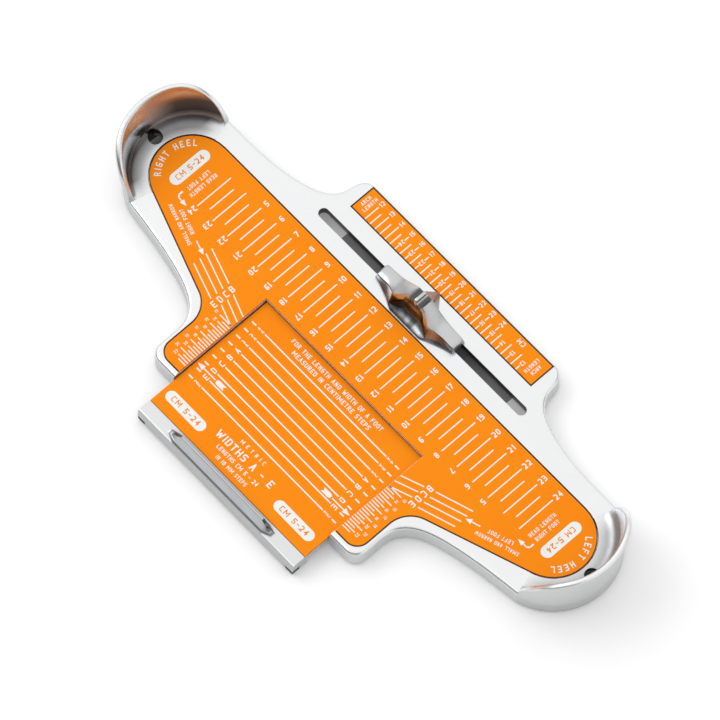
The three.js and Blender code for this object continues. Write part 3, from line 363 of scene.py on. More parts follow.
def heel_side(side, near, far, top, floor, mirror_gloss):
    """The inside of a cup, with painted shade and reflection.

    Near and far are the tints painted on the wall's two sides as reflection and shade, top is the
    painted reflection under the rim of its far side, and floor is the painted shade on the floor next
    to the wall. Mirror gloss is the roughness under that rim and on the near side, where the wall is
    still bright.
    """
    def heights(low, high):
        """Two heights, from shares of the wall's rise over the deck."""
        return DECK_TOP + low * CUP_RISE, DECK_TOP + high * CUP_RISE

    # Each pair says where a share is 0 and where it is 1.
    near_to_far = -4 * MM, 14 * MM
    rim_heights = heights(0.55, 0.78)
    upper_heights = heights(0.3, 0.5)
    foot_heights = heights(0.24, 0.12)
    floor_heights = DECK_TOP + 3.6 * MM, DECK_TOP + 2.2 * MM
    floor_edge = 29.4 * MM, 28.8 * MM
    floor_ends = 7.5 * MM, 15 * MM
    shaded_radii = 20.5 * MM, 27 * MM
    inward_faces = -12 * MM, -22 * MM

    def dulled(made, normal):
        centre = (side * HEEL_X * MM, HEEL_LINE_Y, 0)
        flat = made.vector("MULTIPLY", made.vector("SUBTRACT", made.point, centre), (1, 1, 0))
        radius = made.vector("LENGTH", flat, output="Value")
        height = made.axis(made.point, "Z")
        inward = made.ramp(made.vector("DOT_PRODUCT", flat, normal, output="Value"), *inward_faces)
        beyond = made.ramp(made.axis(flat, "Y"), *near_to_far)
        under_rim = made.both(made.ramp(height, *rim_heights), beyond)
        upper = made.ramp(height, *upper_heights)
        # The near side has its painted reflection only in its upper part.
        wall = made.blend(beyond, made.blend(upper, grey(near[1]), near), far)
        # Painted shade: the wall darkens towards its foot.
        foot = made.ramp(height, *foot_heights)
        wall = made.blend(foot, made.blend(under_rim, wall, top), grey(0.8))
        # Painted shade on the floor, darkest along the wall's foot.
        lies = made.both(made.ramp(height, *floor_heights), made.ramp(radius, *floor_edge))
        outwards = made.both(made.axis(flat, "X"), side)
        lies = made.both(lies, made.ramp(outwards, *floor_ends))
        shade_paint = made.blend(made.ramp(radius, *shaded_radii), grey(0.86), floor)
        mirror = made.either(under_rim, made.ramp(beyond, 0.45, 0))
        gloss = made.ramp(mirror, 0, 1, 0.38, mirror_gloss)
        return made.either(inward, lies), made.blend(lies, wall, shade_paint), gloss
    return dulled


def pointer_grip(made, normal):
    """The places on the pointer that take painted shade and reflection.

    They are its scoop, painted as a dark reflection at one end, cool grey at the other and plain at
    its lip, the near sides of its wings, painted dark as shade, and the grooves in its ridge, painted
    dark as shade.
    """
    slope = made.axis(normal, "Y")
    across = made.maths("SUBTRACT", made.axis(made.point, "X"), POINTER_X)
    from_middle = made.maths("ABSOLUTE", across)
    on_wing = made.ramp(from_middle, 11 * MM, 17 * MM)
    scoop = made.both(made.ramp(slope, -0.05, -0.28), made.rest(on_wing))
    wing = made.both(made.ramp(slope, -0.4, -0.6), on_wing)
    from_groove = made.maths("ABSOLUTE", made.maths("SUBTRACT", from_middle, GROOVE_OFFSET * MM))
    on_ridge = made.ramp(made.axis(normal, "Z"), 0.5, 0.8)
    groove = made.both(made.ramp(from_groove, 2 * MM, 0.9 * MM), on_ridge)
    # Painted reflection in the scoop, near black at one end and cool grey at the other, and painted
    # shade where it faces down.
    uneven = made.ramp(made.noise(4 * MM, 2), 0.3, 0.7, -3 * MM, 3 * MM)
    dark_end = made.ramp(made.maths("ADD", across, uneven), -7 * MM, 7 * MM)
    shade_paint = made.blend(dark_end, grey(0.08), grey(0.68, -0.08))
    shade_paint = made.blend(made.ramp(slope, -0.7, -0.86, 0, 0.75), shade_paint, grey(0.05))
    lip = made.ramp(made.axis(made.point, "Z"), DECK_TOP + 6.6 * MM, DECK_TOP + 8 * MM)
    shade_paint = made.blend(lip, shade_paint, grey(1.0))
    shade_paint = made.blend(on_wing, shade_paint, grey(0.34, -0.1))
    share = made.either(made.either(scoop, wing), groove)
    return share, made.blend(groove, shade_paint, grey(0.2)), 0.19


def fence_grip(made, normal):
    """The fence, greyer than the rail, with painted shade dark along its foot and on the ramps at its
    ends.
    """
    height = made.axis(made.point, "Z")
    over_foot = made.ramp(height, SLIDE_TOP + 0.4 * MM, SLIDE_TOP + 0.8 * MM)
    body = made.blend(over_foot, grey(0.3), grey(0.74, -0.03))
    end = made.ramp(made.maths("ABSOLUTE", made.axis(normal, "X")), 0.08, 0.4)
    end_tone = made.blend(made.ramp(made.noise(2.2 * MM, 2), 0.35, 0.65), grey(0.09), grey(0.34))
    share = made.ramp(height, SLIDE_TOP + 0.05 * MM, SLIDE_TOP + 0.3 * MM)
    return share, made.blend(end, body, end_tone), 0.3


def cut_edges(made, normal):
    """Painted shade on the walls of the slot and of the window's far side."""
    window_reach, slot_reach = 0.6 * MM, 4 * MM
    window = made.patch(WINDOW_HALF * MM, DRAWING_Y + WINDOW_INNER_Y * MM, window_reach)
    slot = made.patch(SLOT_HALF * MM, SLOT_Y, slot_reach)
    upright = made.ramp(made.axis(normal, "Z"), 0.6, 0.4)
    return made.both(made.either(window, slot), upright), grey(0.12)[:3], 0.34


def plate_finish(name, colour):
    """Baked orange print on a thin plate: smooth, a little dusty, with fine scuffs."""
    made = Finish(name, colour, 0.0, 0.36)
    made.set("Specular IOR Level", 0.1)
    cloud = made.noise(26 * MM, 3)
    speck = made.noise(0.9 * MM, 3)
    lines = made.either(made.scratches(0.22 * MM, 0.25, 0.72), made.scratches(0.3 * MM, 1.9, 0.725))
    dusty = colour[0] * 0.99, colour[1] * 1.07, colour[2] * 1.2
    tone = made.mix(made.ramp(cloud, 0.3, 0.72), colour, dusty)
    scuffed = made.blend(made.ramp(lines, 0, 1, 0, 0.16), tone, (*shade(colour, 1.25), 1))
    gloss = made.ramp(cloud, 0.3, 0.7, 0.3, 0.4)
    gloss = made.maths("ADD", gloss, made.ramp(lines, 0, 1, 0, 0.15))
    skin = made.bump(speck, 0.02 * MM, 0.25)
    return made.surface(scuffed, gloss, made.bump(made.rest(lines), 0.01 * MM, 0.3, skin))


def ink_finish(name, colour, roughness):
    """Printing ink: matt, with the screen's fine unevenness."""
    made = Finish(name, colour, 0.0, roughness)
    made.set("Specular IOR Level", 0.35)
    speck = made.noise(0.3 * MM, 3)
    wear = made.noise(5 * MM, 4)
    tone = made.mix(made.ramp(wear, 0.45, 0.8), colour, shade(colour, 0.93))
    gloss = made.ramp(wear, 0.3, 0.7, roughness - 0.05, roughness + 0.08)
    return made.surface(tone, gloss, made.bump(speck, 0.01 * MM, 0.4))


def steel_finish(name, colour, roughness, turning):
    """Plated or tempered steel with fine tool marks of the given spacing."""
    made = Finish(name, colour, 1.0, roughness)
    marks = made.noise(turning, 2, (1, 12, 1), 0.4)
    cloud = made.noise(3 * MM, 3)
    tone = made.mix(made.ramp(cloud, 0.3, 0.75), colour, shade(colour, 0.82))
    gloss = made.ramp(marks, 0.25, 0.75, roughness - 0.06, roughness + 0.1)
    return made.surface(tone, gloss, made.bump(marks, 0.01 * MM, 0.5))


def moulded_finish(name, colour, roughness, grain_size, grain_height):
    """Moulded nylon or rubber with a fine skin texture."""
    made = Finish(name, colour, 0.0, roughness)
    grain = made.noise(grain_size, 4)
    cloud = made.noise(4 * MM, 3)
    tone = made.mix(made.ramp(cloud, 0.35, 0.75), colour, shade(colour, 0.85))
    gloss = made.ramp(cloud, 0.3, 0.7, roughness - 0.06, roughness + 0.08)
    return made.surface(tone, gloss, made.bump(grain, grain_height, 0.6))


def bare(name, material):
    """A CAD node with its finish and smooth faces, and without the shading it was stored with."""
    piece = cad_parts[name]
    mesh = piece.data
    mesh.materials.clear()
    mesh.materials.append(material)
    for attribute in ("custom_normal", "sharp_edge", "sharp_face"):
        if attribute in mesh.attributes:
            mesh.attributes.remove(mesh.attributes[attribute])
    mesh.shade_smooth()
    weld = piece.modifiers.new("seams", "WELD")
    weld.merge_threshold = SEAM
    return piece


def dress(nodes, material, edge=0.0, crease=32):
    """Gives machined CAD nodes their finish, flat faces and softened edges."""
    for name in nodes:
        piece = bare(name, material)
        flat = piece.modifiers.new("flat_faces", "DECIMATE")
        flat.decimate_type = "DISSOLVE"
        flat.angle_limit = math.radians(0.4)
        if edge > 0:
            bevel = piece.modifiers.new("edges", "BEVEL")
            bevel.width = edge
            bevel.segments = 2
            bevel.limit_method = "ANGLE"
            bevel.angle_limit = math.radians(crease)
            bevel.harden_normals = True
            bevel.use_clamp_overlap = True
        normals = piece.modifiers.new("shading", "WEIGHTED_NORMAL")
        normals.keep_sharp = True


def dress_lofted(name, material, crease):
    """Gives a node with curved faces its finish, smooth up to a crease angle."""
    split = bare(name, material).modifiers.new("creases", "EDGE_SPLIT")
    split.split_angle = math.radians(crease)


# Objects and meshes that the script adds.


def placed(name, data):
    """A new object in the scene."""
    made = bpy.data.objects.new(name, data)
    bpy.context.scene.collection.objects.link(made)
    return made


def mesh_of(made, name, material):
    """A bmesh turned into a mesh with one material."""
    mesh = bpy.data.meshes.new(name)
    made.to_mesh(mesh)
    made.free()
    mesh.materials.append(material)
    return mesh


def wrap(made, rings, ends):
    """Faces between rings of four corners, and over the two end rings where asked."""
    for near, far in zip(rings, rings[1:]):
        for j in range(4):
            k = (j + 1) % 4
            made.faces.new((near[j], near[k], far[k], far[j]))
    if ends:
        made.faces.new(rings[0][::-1])
        made.faces.new(rings[-1])


# Printed marks.


def rounded(path, closed):
    """A path of places, each marked round or sharp, as points with arcs for the round corners."""
    corner_reach, arc_steps = 0.2, 3
    points = []
    for i, (place, is_round) in enumerate(path):
        ends = i in (0, len(path) - 1) and not closed
        if not is_round or ends:
            points.append(place)
            continue
        before, after = path[i - 1][0], path[(i + 1) % len(path)][0]
        reach = min(corner_reach, (before - place).length / 2, (after - place).length / 2)
        start = place + (before - place).normalized() * reach
        end = place + (after - place).normalized() * reach
        for step in range(arc_steps + 1):
            t = step / arc_steps
            points.append(start * (1 - t) ** 2 + place * 2 * t * (1 - t) + end * t ** 2)
    kept = [p for i, p in enumerate(points) if i == 0 or (p - points[i - 1]).length > SAME_PLACE]
    if closed and (kept[0] - kept[-1]).length < SAME_PLACE:
        kept.pop()
    return kept + kept[:1] if closed else kept


def ribbon(points, closed, half):
    """Pairs of corners on both sides of a line of points, with mitred bends and square ends."""
    row = []
    last = len(points) - 1
    mitre_limit = 0.45
    for i, place in enumerate(points):
        if closed and i in (0, last):
            before, after = points[-2], points[1]
        else:
            before = points[i - 1] if i > 0 else None
            after = points[i + 1] if i < last else None
        into = (place - before).normalized() if before is not None else None
        out = (after - place).normalized() if after is not None else None
        if into is None:
            place, into = place - out * half, out
        if out is None:
            place, out = place + into * half, into
        side = Vector((-into.y - out.y, into.x + out.x)).normalized()
        reach = half / max(mitre_limit, side.dot(Vector((-into.y, into.x))))
        row.append((place + side * reach, place - side * reach))
    return row


class Marks:
    """The marks printed on one plate, gathered into one thin mesh."""

    # Letters as strokes on a grid four wide and six high. A place with a "c" is a rounded corner,
    # and "o" closes the stroke. No stroke crosses itself or turns back sharply.
    strokes = {
        "0": "06c 46c 40c 00c o", "1": "15 26/26 20", "2": "06 46c 43/43 00/00 40",
        "3": "06 46c 43c 13/33 43c 40c 00", "4": "30 36/36 02/02 42", "5": "46 06 03 43c 40c 00",
        "6": "46 06c 03/03 43c 40c 00c o", "7": "06 46/46 10",
        "8": "06c 46c 43c 03c o/03c 43c 40c 00c o", "9": "00 40c 43/43 46c 06c 03c o",
        "A": "00 26/26 40/12 32", "B": "06 46c 43c 03 o/03 43c 40c 00 o", "C": "46 06c 00c 40",
        "D": "06 46c 40c 00 o", "E": "46 06 00 40/03 33", "F": "46 06 00/03 33",
        "G": "46 06c 00c 40c 43 23", "H": "00 06/40 46/03 43", "I": "20 26", "L": "06 00 40",
        "M": "00 06/06 22/22 46/46 40", "N": "00 06/06 40/40 46", "O": "06c 46c 40c 00c o",
        "P": "06 46c 43c 03 o/03 00", "R": "06 46c 43c 03 o/03 00/23 40",
        "S": "46 06c 03c 43c 40c 00", "T": "06 46/26 20", "U": "06 00c 40c 46",
        "W": "06 10/10 24/24 30/30 46", "-": "03 33",
    }
    wide = "MW"
    width, wide_width, space = 0.62, 0.92, 0.42
    digit_weight = 0.19
    letter_weight = 0.165
    stroke_step = 0.002 * MM
    glyphs = {}

    def __init__(self, plate_top):
        self.mesh = bmesh.new()
        self.low = plate_top + PRINT_GAP
        self.high = self.low + print_settings().ink

    def outline(self, points):
        """A filled shape, from its corners in the drawing's millimetres."""
        places = [drawing(p) for p in points]
        low = [self.mesh.verts.new((x, y, self.low)) for x, y in places]
        high = [self.mesh.verts.new((x, y, self.high)) for x, y in places]
        self.mesh.faces.new(high)
        self.mesh.faces.new(low[::-1])
        for i in range(len(points)):
            j = (i + 1) % len(points)
            self.mesh.faces.new((low[i], low[j], high[j], high[i]))

    def line(self, start, end, width=None):
        half = (width or print_settings().line / MM) / 2
        a, b = Vector(start), Vector(end)
        along = (b - a).normalized()
        across = Vector((-along.y, along.x)) * half
        self.outline([a - across, b - across, b + across, a + across])

    def pill(self, middle, half_length, radius, upright):
        """A bar with round ends, along Y where upright, along X otherwise."""
        points = []
        reach = half_length - radius
        steps = 12
        for end in (0, 1):
            for i in range(steps + 1):
                turn = math.pi * (i / steps + end) - math.pi / 2
                u = radius * math.cos(turn) + (reach if end == 0 else -reach)
                v = radius * math.sin(turn)
                u, v = (-v, u) if upright else (u, v)
                points.append((middle[0] + u, middle[1] + v))
        self.outline(points)

    @classmethod
    def glyph(cls, letter):
        """A letter one unit high, as rows of left and right corners, and its width."""
        if letter not in cls.glyphs:
            weight = cls.digit_weight if letter.isdigit() else cls.letter_weight
            across = (cls.wide_width if letter in cls.wide else cls.width) - weight
            rows = []
            for stroke in cls.strokes[letter].split("/"):
                corners = stroke.split()
                closed = corners[-1] == "o"
                path = [(Vector((int(c[0]) / 4 * across, int(c[1]) / 6 * (1 - weight))), len(c) > 2)
                        for c in corners if c != "o"]
                rows.append(ribbon(rounded(path, closed), closed, weight / 2))
            start = min(p.x for row in rows for pair in row for p in pair)
            end = max(p.x for row in rows for pair in row for p in pair)
            shift = Vector((-start, weight / 2))
            rows = [[(a + shift, b + shift) for a, b in row] for row in rows]
            cls.glyphs[letter] = rows, end - start
        return cls.glyphs[letter]

    def letter(self, letter, place, height, angle, squeeze=1.0):
        """One letter, its lower left corner at the place in the drawing, turned by the angle."""
        c, s = math.cos(angle), math.sin(angle)

        def corner(point, z):
            u, v = point.x * height * squeeze, point.y * height
            x, y = drawing((place[0] + u * c - v * s, place[1] + u * s + v * c))
            return self.mesh.verts.new((x, y, z))

        # Each stroke is a hair over the one before, so that none of their tops share a plane.
        for i, row in enumerate(self.glyph(letter)[0]):
            low, top = self.low, self.high + self.stroke_step * i
            rings = [(corner(a, low), corner(b, low), corner(b, top), corner(a, top)) for a, b in row]
            wrap(self.mesh, rings, ends=(row[0][0] - row[-1][0]).length > SAME_PLACE)

    def advances(self, text, height, squeeze, gap):
        """Where each letter of a word starts, and the word's length."""
        starts, reach = [], 0.0
        for letter in text:
            starts.append(reach)
            width = self.space if letter == " " else self.glyph(letter)[1]
            reach += width * height * squeeze + gap * height
        return starts, reach - gap * height

    def word(self, text, middle, height, angle=0.0, squeeze=0.9, gap=0.2):
        """A word with its middle at the place, turned by the angle."""
        starts, length = self.advances(text, height, squeeze, gap)
        c, s = math.cos(angle), math.sin(angle)
        for letter, start in zip(text, starts):
            if letter != " ":
                u, v = start - length / 2, -height / 2
                place = middle[0] + u * c - v * s, middle[1] + u * s + v * c
                self.letter(letter, place, height, angle, squeeze)

    def arc_word(self, text, centre, radius, middle_angle, height, squeeze=0.9, gap=0.25):
        """A word bent round a centre, its letters' tops outwards."""
        starts, length = self.advances(text, height, squeeze, gap)
        for letter, start in zip(text, starts):
            if letter != " ":
                half = self.glyph(letter)[1] * height * squeeze / 2
                turn = middle_angle - (start + half - length / 2) / radius
                angle = turn - math.pi / 2
                foot = Vector(centre) + Vector((math.cos(turn), math.sin(turn))) * radius
                foot -= Vector((math.cos(angle), math.sin(angle))) * half
                self.letter(letter, foot, height, angle, squeeze)

    def arrow(self, tail, tip, head, width):
        """A line that ends in a triangular head."""
        a, b = Vector(tail), Vector(tip)
        along = (b - a).normalized()
        across = Vector((-along.y, along.x))
        neck = b - along * head
        self.line(a, neck + along * 0.05)
        self.outline([neck - across * width / 2, b, neck + across * width / 2])

    def done(self, name, material, body):
        piece = placed(name, mesh_of(self.mesh, name, material))
        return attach(piece, body)


def reading(side, outward):
    """The angle of words at one end of the device, tops away from the middle or towards it."""
    return -side * math.pi / 2 if outward else side * math.pi / 2


def ink_materials():
    settings = finish_settings()
    if "pale_ink" not in bpy.data.materials:
        ink_finish("pale_ink", settings.ink, 0.5)
        ink_finish("dark_ink", settings.keyline, 0.42)
        ink_finish("orange_ink", settings.orange, 0.4)
    return [bpy.data.materials[name] for name in ("pale_ink", "dark_ink", "orange_ink")]


def keyline(node, name, body, skip=None):
    """The dark printed line along a plate's edge, taken from the plate's own outline."""
    settings = print_settings()
    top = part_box(node)[1].z
    flush, thinner = 0.05 * MM, 0.7
    made = bmesh.new()
    made.from_mesh(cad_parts[node].data)
    bmesh.ops.remove_doubles(made, verts=made.verts, dist=SEAM)
    lower = [f for f in made.faces if min(v.co.z for v in f.verts) < top - flush]
    bmesh.ops.delete(made, geom=lower, context="FACES")
    rim = bmesh.ops.inset_region(
        made, faces=made.faces[:], thickness=settings.keyline, use_boundary=True, use_even_offset=True)
    ring = set(rim["faces"])
    drop = [f for f in made.faces if f not in ring or (skip and skip(f.calc_center_median()))]
    bmesh.ops.delete(made, geom=drop, context="FACES")
    raised = bmesh.ops.extrude_face_region(made, geom=made.faces[:])["geom"]
    bmesh.ops.translate(made, vec=(0, 0, settings.ink * thinner),
                        verts=[g for g in raised if isinstance(g, bmesh.types.BMVert)])
    bmesh.ops.translate(made, vec=(0, 0, PRINT_GAP), verts=made.verts)
    bmesh.ops.recalc_face_normals(made, faces=made.faces[:])
    piece = placed(name, mesh_of(made, name, ink_materials()[1]))
    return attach(piece, body)


# Operators, one for each piece or group of like pieces.


class FOOTMEASURE_OT_castings(bpy.types.Operator):
    """Finish the base casting and the slide casting"""

    bl_idname = "footmeasure.castings"
    bl_label = "Base and slide castings"

    def execute(self, context):
        settings = finish_settings()
        roughness, marks = settings.casting_roughness, 0.02
        # The deck takes painted shade on its slot and window walls, and the slide on its fence's foot
        # and ramps.
        deck = casting_finish("deck_casting", settings.aluminium, roughness, marks, dulled=cut_edges)
        dress(["base_casting"], deck, settings.edge_round)
        duller = shade(settings.aluminium, 0.85)
        slide_look = casting_finish("slide_casting", duller, roughness + 0.04, marks, dulled=fence_grip)
        dress(["width_slide"], slide_look, settings.edge_round)
        return {"FINISHED"}


class FOOTMEASURE_OT_cups(bpy.types.Operator):
    """Finish the heel cups and fill the joints at their ends"""

    bl_idname = "footmeasure.cups"
    bl_label = "Heel cups"

    def execute(self, context):
        settings = finish_settings()
        bright = shade(settings.aluminium, 1.02)
        # Painted reflection and shade: the right cup's wall is dark, with the orange plate's
        # reflection under its rim, and the left cup's wall is pale and cool.
        orange_reflection = (0.7, 0.42, 0.22, 1)
        pale = grey(0.72, -0.08)
        right_cup_shading = heel_side(-1, grey(0.84, -0.08), grey(0.13, -0.1), orange_reflection, grey(0.18), 0.12)
        left_cup_shading = heel_side(1, pale, pale, grey(0.8, -0.05), grey(0.62), 0.3)
        for word, rougher, shade_paint in (("right", 0.03, right_cup_shading), ("left", 0.17, left_cup_shading)):
            roughness = settings.cup_roughness + rougher
            made = casting_finish(f"{word}_cup_casting", bright, roughness, 0.02,
                                  wave=0.12 * MM, shade_reach=14 * MM, dulled=shade_paint)
            dress_lofted(f"{word}_heel_cup", made, 50)
        self.joints()
        return {"FINISHED"}

    def joints(self):
        """The filler in the joint at each end of a cup, dressed flush with the deck and the skirt."""
        depth, sunk, corner, corner_steps = 0.5, 0.03, 2.0, 6
        inner, outer = PLATE_END_RADIUS + 0.4, CUP_RADIUS - sunk
        # Radius, height over the deck, and the way out of the metal there: outwards and upwards.
        path = [(inner, -sunk, 0, 1)]
        for step in range(corner_steps + 1):
            turn = math.pi / 2 * (1 - step / corner_steps)
            out, up = math.cos(turn), math.sin(turn)
            path.append((outer - corner * (1 - out), -sunk - corner * (1 - up), out, up))
        path.append((outer, (CUP_LOW.z - DECK_TOP) / MM, 1, 0))
        made = bmesh.new()
        for side in SIDES:
            for end in SIDES:
                rings = []
                for radius, height, out, up in path:
                    ring = []
                    for offset, inset in ((0, 0), (JOINT_WIDTH, 0), (JOINT_WIDTH, depth), (0, depth)):
                        turn = end * (CUP_HALF_ANGLE + offset / CUP_RADIUS)
                        r, z = radius - inset * out, height - inset * up
                        along, across = HEEL_X + r * math.cos(turn), r * math.sin(turn)
                        x, y = drawing((side * along, across - TOE_SCALE_OFFSET))
                        ring.append(made.verts.new((x, y, DECK_TOP + z * MM)))
                    rings.append(ring)
                wrap(made, rings, ends=True)
        bmesh.ops.recalc_face_normals(made, faces=made.faces[:])
        name = "cup_joint_filler"
        piece = placed(name, mesh_of(made, name, bpy.data.materials["deck_casting"]))
        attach(piece, "base")


class FOOTMEASURE_OT_pointer(bpy.types.Operator):
    """Finish the arch pointer"""

    bl_idname = "footmeasure.pointer"
    bl_label = "Arch pointer"

    def execute(self, context):
        settings = finish_settings()
        duller = shade(settings.aluminium, 0.7)
        made = casting_finish("pointer_casting", duller, settings.pointer_roughness, 0.04,
                              wave=0.16 * MM, shade_reach=3 * MM, dulled=pointer_grip)
        dress_lofted("arch_pointer", made, 46)
        return {"FINISHED"}


class FOOTMEASURE_OT_plates(bpy.types.Operator):
    """Finish the three scale plates and print the keylines of the two on the deck"""

    bl_idname = "footmeasure.plates"
    bl_label = "Scale plates"

    def execute(self, context):
        made = plate_finish("orange_print", finish_settings().orange)
        dress(["toe_scale_plate", "arch_scale_plate", "width_scale_plate"], made, 0.08 * MM)

        def by_window(place):
            side_margin, inner_margin = 1, 1.5
            inside = abs(place.x) < (WINDOW_HALF + side_margin) * MM
            return inside and place.y < DRAWING_Y + (WINDOW_INNER_Y + inner_margin) * MM

        keyline("toe_scale_plate", "toe_keyline", "base", by_window)
        keyline("arch_scale_plate", "arch_keyline", "base")
        return {"FINISHED"}


class FOOTMEASURE_OT_toe_marks(bpy.types.Operator):
    """Print the toe scale with its numbers and heel words"""

    bl_idname = "footmeasure.toe_marks"
    bl_label = "Toe scale marks"

    pill_x = 121.2

    def execute(self, context):
        pale, _, orange = ink_materials()
        marks = Marks(DECK_TOP)
        self.scale(marks)
        for side in SIDES:
            self.heel(marks, side)
            self.narrow_lines(marks, side)
            self.comb(marks, side)
        marks.done("toe_scale_marks", pale, "base")
        words = Marks(DECK_TOP + print_settings().ink)
        for side in SIDES:
            words.word(PILL_WORDS, (side * self.pill_x, 0), 2.9, reading(side, True), 0.95)
        words.done("heel_pill_words", orange, "base")
        return {"FINISHED"}

    def scale(self, marks):
        """The lines of the whole and half sizes, and their numbers for either foot."""
        height = print_settings().size_digit / MM
        first = SIZE_ZERO_X - SIZE_STEP * LAST_SIZE
        whole_reach, half_reach, upper_y, lower_y = 10.1, 7.15, 13.3, -13.1
        for start, reach in ((first, whole_reach), (first + SIZE_STEP // 2, half_reach)):
            for x in range(start, -first + 1, SIZE_STEP):
                marks.line((x, -reach), (x, reach))
        for size in range(FIRST_SIZE, LAST_SIZE + 1):
            x = SIZE_STEP * size - SIZE_ZERO_X
            marks.word(str(size), (x, upper_y), height, math.pi / 2)
            marks.word(str(size), (-x, lower_y), height, -math.pi / 2)

    def heel(self, marks, side):
        """The words and arrows at one heel."""
        foot, other = ("RIGHT", "LEFT") if side < 0 else ("LEFT", "RIGHT")
        middle_angle = math.pi if side < 0 else 0
        centre = side * HEEL_X, -TOE_SCALE_OFFSET
        marks.arc_word(f"{foot} HEEL", centre, 14.1, middle_angle, 3.2, gap=0.3)
        marks.pill((side * self.pill_x, 0), 11.2, 3.05, True)
        inward = reading(side, False)
        marks.word("READ LENGTH", (side * 110.6, -1.4), 2.0, inward, 0.85)
        marks.word(f"{other} FOOT", (side * 113.9, -1.4), 2.0, inward)
        # The bent arrow from these words to the last line.
        bend = [(114.6, -10.2), (114.6, -12.4), (113.5, -13.5)]
        for a, b in zip(bend, bend[1:]):
            marks.line((side * a[0], a[1]), (side * b[0], b[1]), 0.8)
        marks.arrow((side * 113.6, -13.5), (side * 108.2, -13.7), 3.2, 2.4)
        # Slanted words with an arrow towards the narrow lines.
        turn = math.pi + side * math.radians(18)
        up = Vector((-math.sin(turn), math.cos(turn)))
        middle = Vector((side * 103, -20.3))
        marks.word("SMALL AND NARROW", middle + up * 1.7, 1.8, turn, 0.86)
        marks.word(f"{foot} FOOT", middle - up * 1.7, 2.0, turn, 0.85)
        marks.arrow((side * 92.7, -21.8), (side * 85.6, -24.0), 3.0, 2.6)

    def narrow_lines(self, marks, side):
        """The slanted width lines, with their letters in the gap."""
        for far, near in ((-19.3, -25.1), (-22.8, -28.7), (-26.4, -32.2), (-30.0, -35.8)):
            marks.line((side * 85.3, far), (side * 67.6, near))
        for far, near in ((-27.2, -31.2), (-30.8, -34.8), (-34.4, -38.4)):
            marks.line((side * 62.3, far), (side * 51.4, near))
        for letter, y in zip("BCDE", (-26.0, -29.5, -33.1, -36.7)):
            marks.word(letter, (side * 64.7, y), 3.3, reading(side, True), 0.95)

    def comb(self, marks, side):
        """The fine lines that the slide's arrows point at, each second one numbered."""
        first, pitch, count = -38.1, 1.453, 20
        foot, reaches = 51.3, (59.2, 56.0, 57.6, 56.0)
        columns, first_number = (61.5, 59.3), 13
        for i in range(count):
            y = first - pitch * i
            marks.line((side * foot, y), (side * reaches[i % 4], y), 0.5)
            if i % 2 == 0:
                step = i // 2
                place = side * columns[step % 2], y
                marks.word(str(first_number + step), place, 1.45, reading(side, True), 0.85)


class FOOTMEASURE_OT_arch_marks(bpy.types.Operator):
    """Print the arch scale"""

    bl_idname = "footmeasure.arch_marks"
    bl_label = "Arch scale marks"

    def execute(self, context):
        marks = Marks(DECK_TOP)
        start, pitch, count = -50.0, 6.555, 16
        near, far, half_far = 40.5, 48.9, 47.3
        upper_y, lower_y, words_y, aside = 51.0, 44.7, 46.8, -0.7
        first, last = 12, 24
        # Where a line stops for the number that stands in it.
        gap_near, gap_far = 43.0, 46.4
        for i in range(count):
            x = start + pitch * i
            upper, lower = first + i, first + count - 1 - i
            if upper <= last:
                marks.word(str(upper), (x, upper_y), 2.3, math.pi / 2, 0.85)
            if lower <= last:
                marks.word(str(lower), (x, lower_y), 2.1, -math.pi / 2, 0.85)
                marks.line((x, near), (x, gap_near))
                if upper <= last:
                    marks.line((x, gap_far), (x, far))
            else:
                marks.line((x, near), (x, far))
            if i < count - 1:
                marks.line((x + pitch / 2, near), (x + pitch / 2, half_far))
        marks.word("CM", (40.8, upper_y), 2.5, math.pi)
        for side in SIDES:
            for word, x in (("ARCH", 55.5), ("LENGTH", 52.7)):
                marks.word(word, (side * x + aside, words_y), 1.9, reading(side, True))
        marks.done("arch_scale_marks", ink_materials()[0], "base")
        return {"FINISHED"}


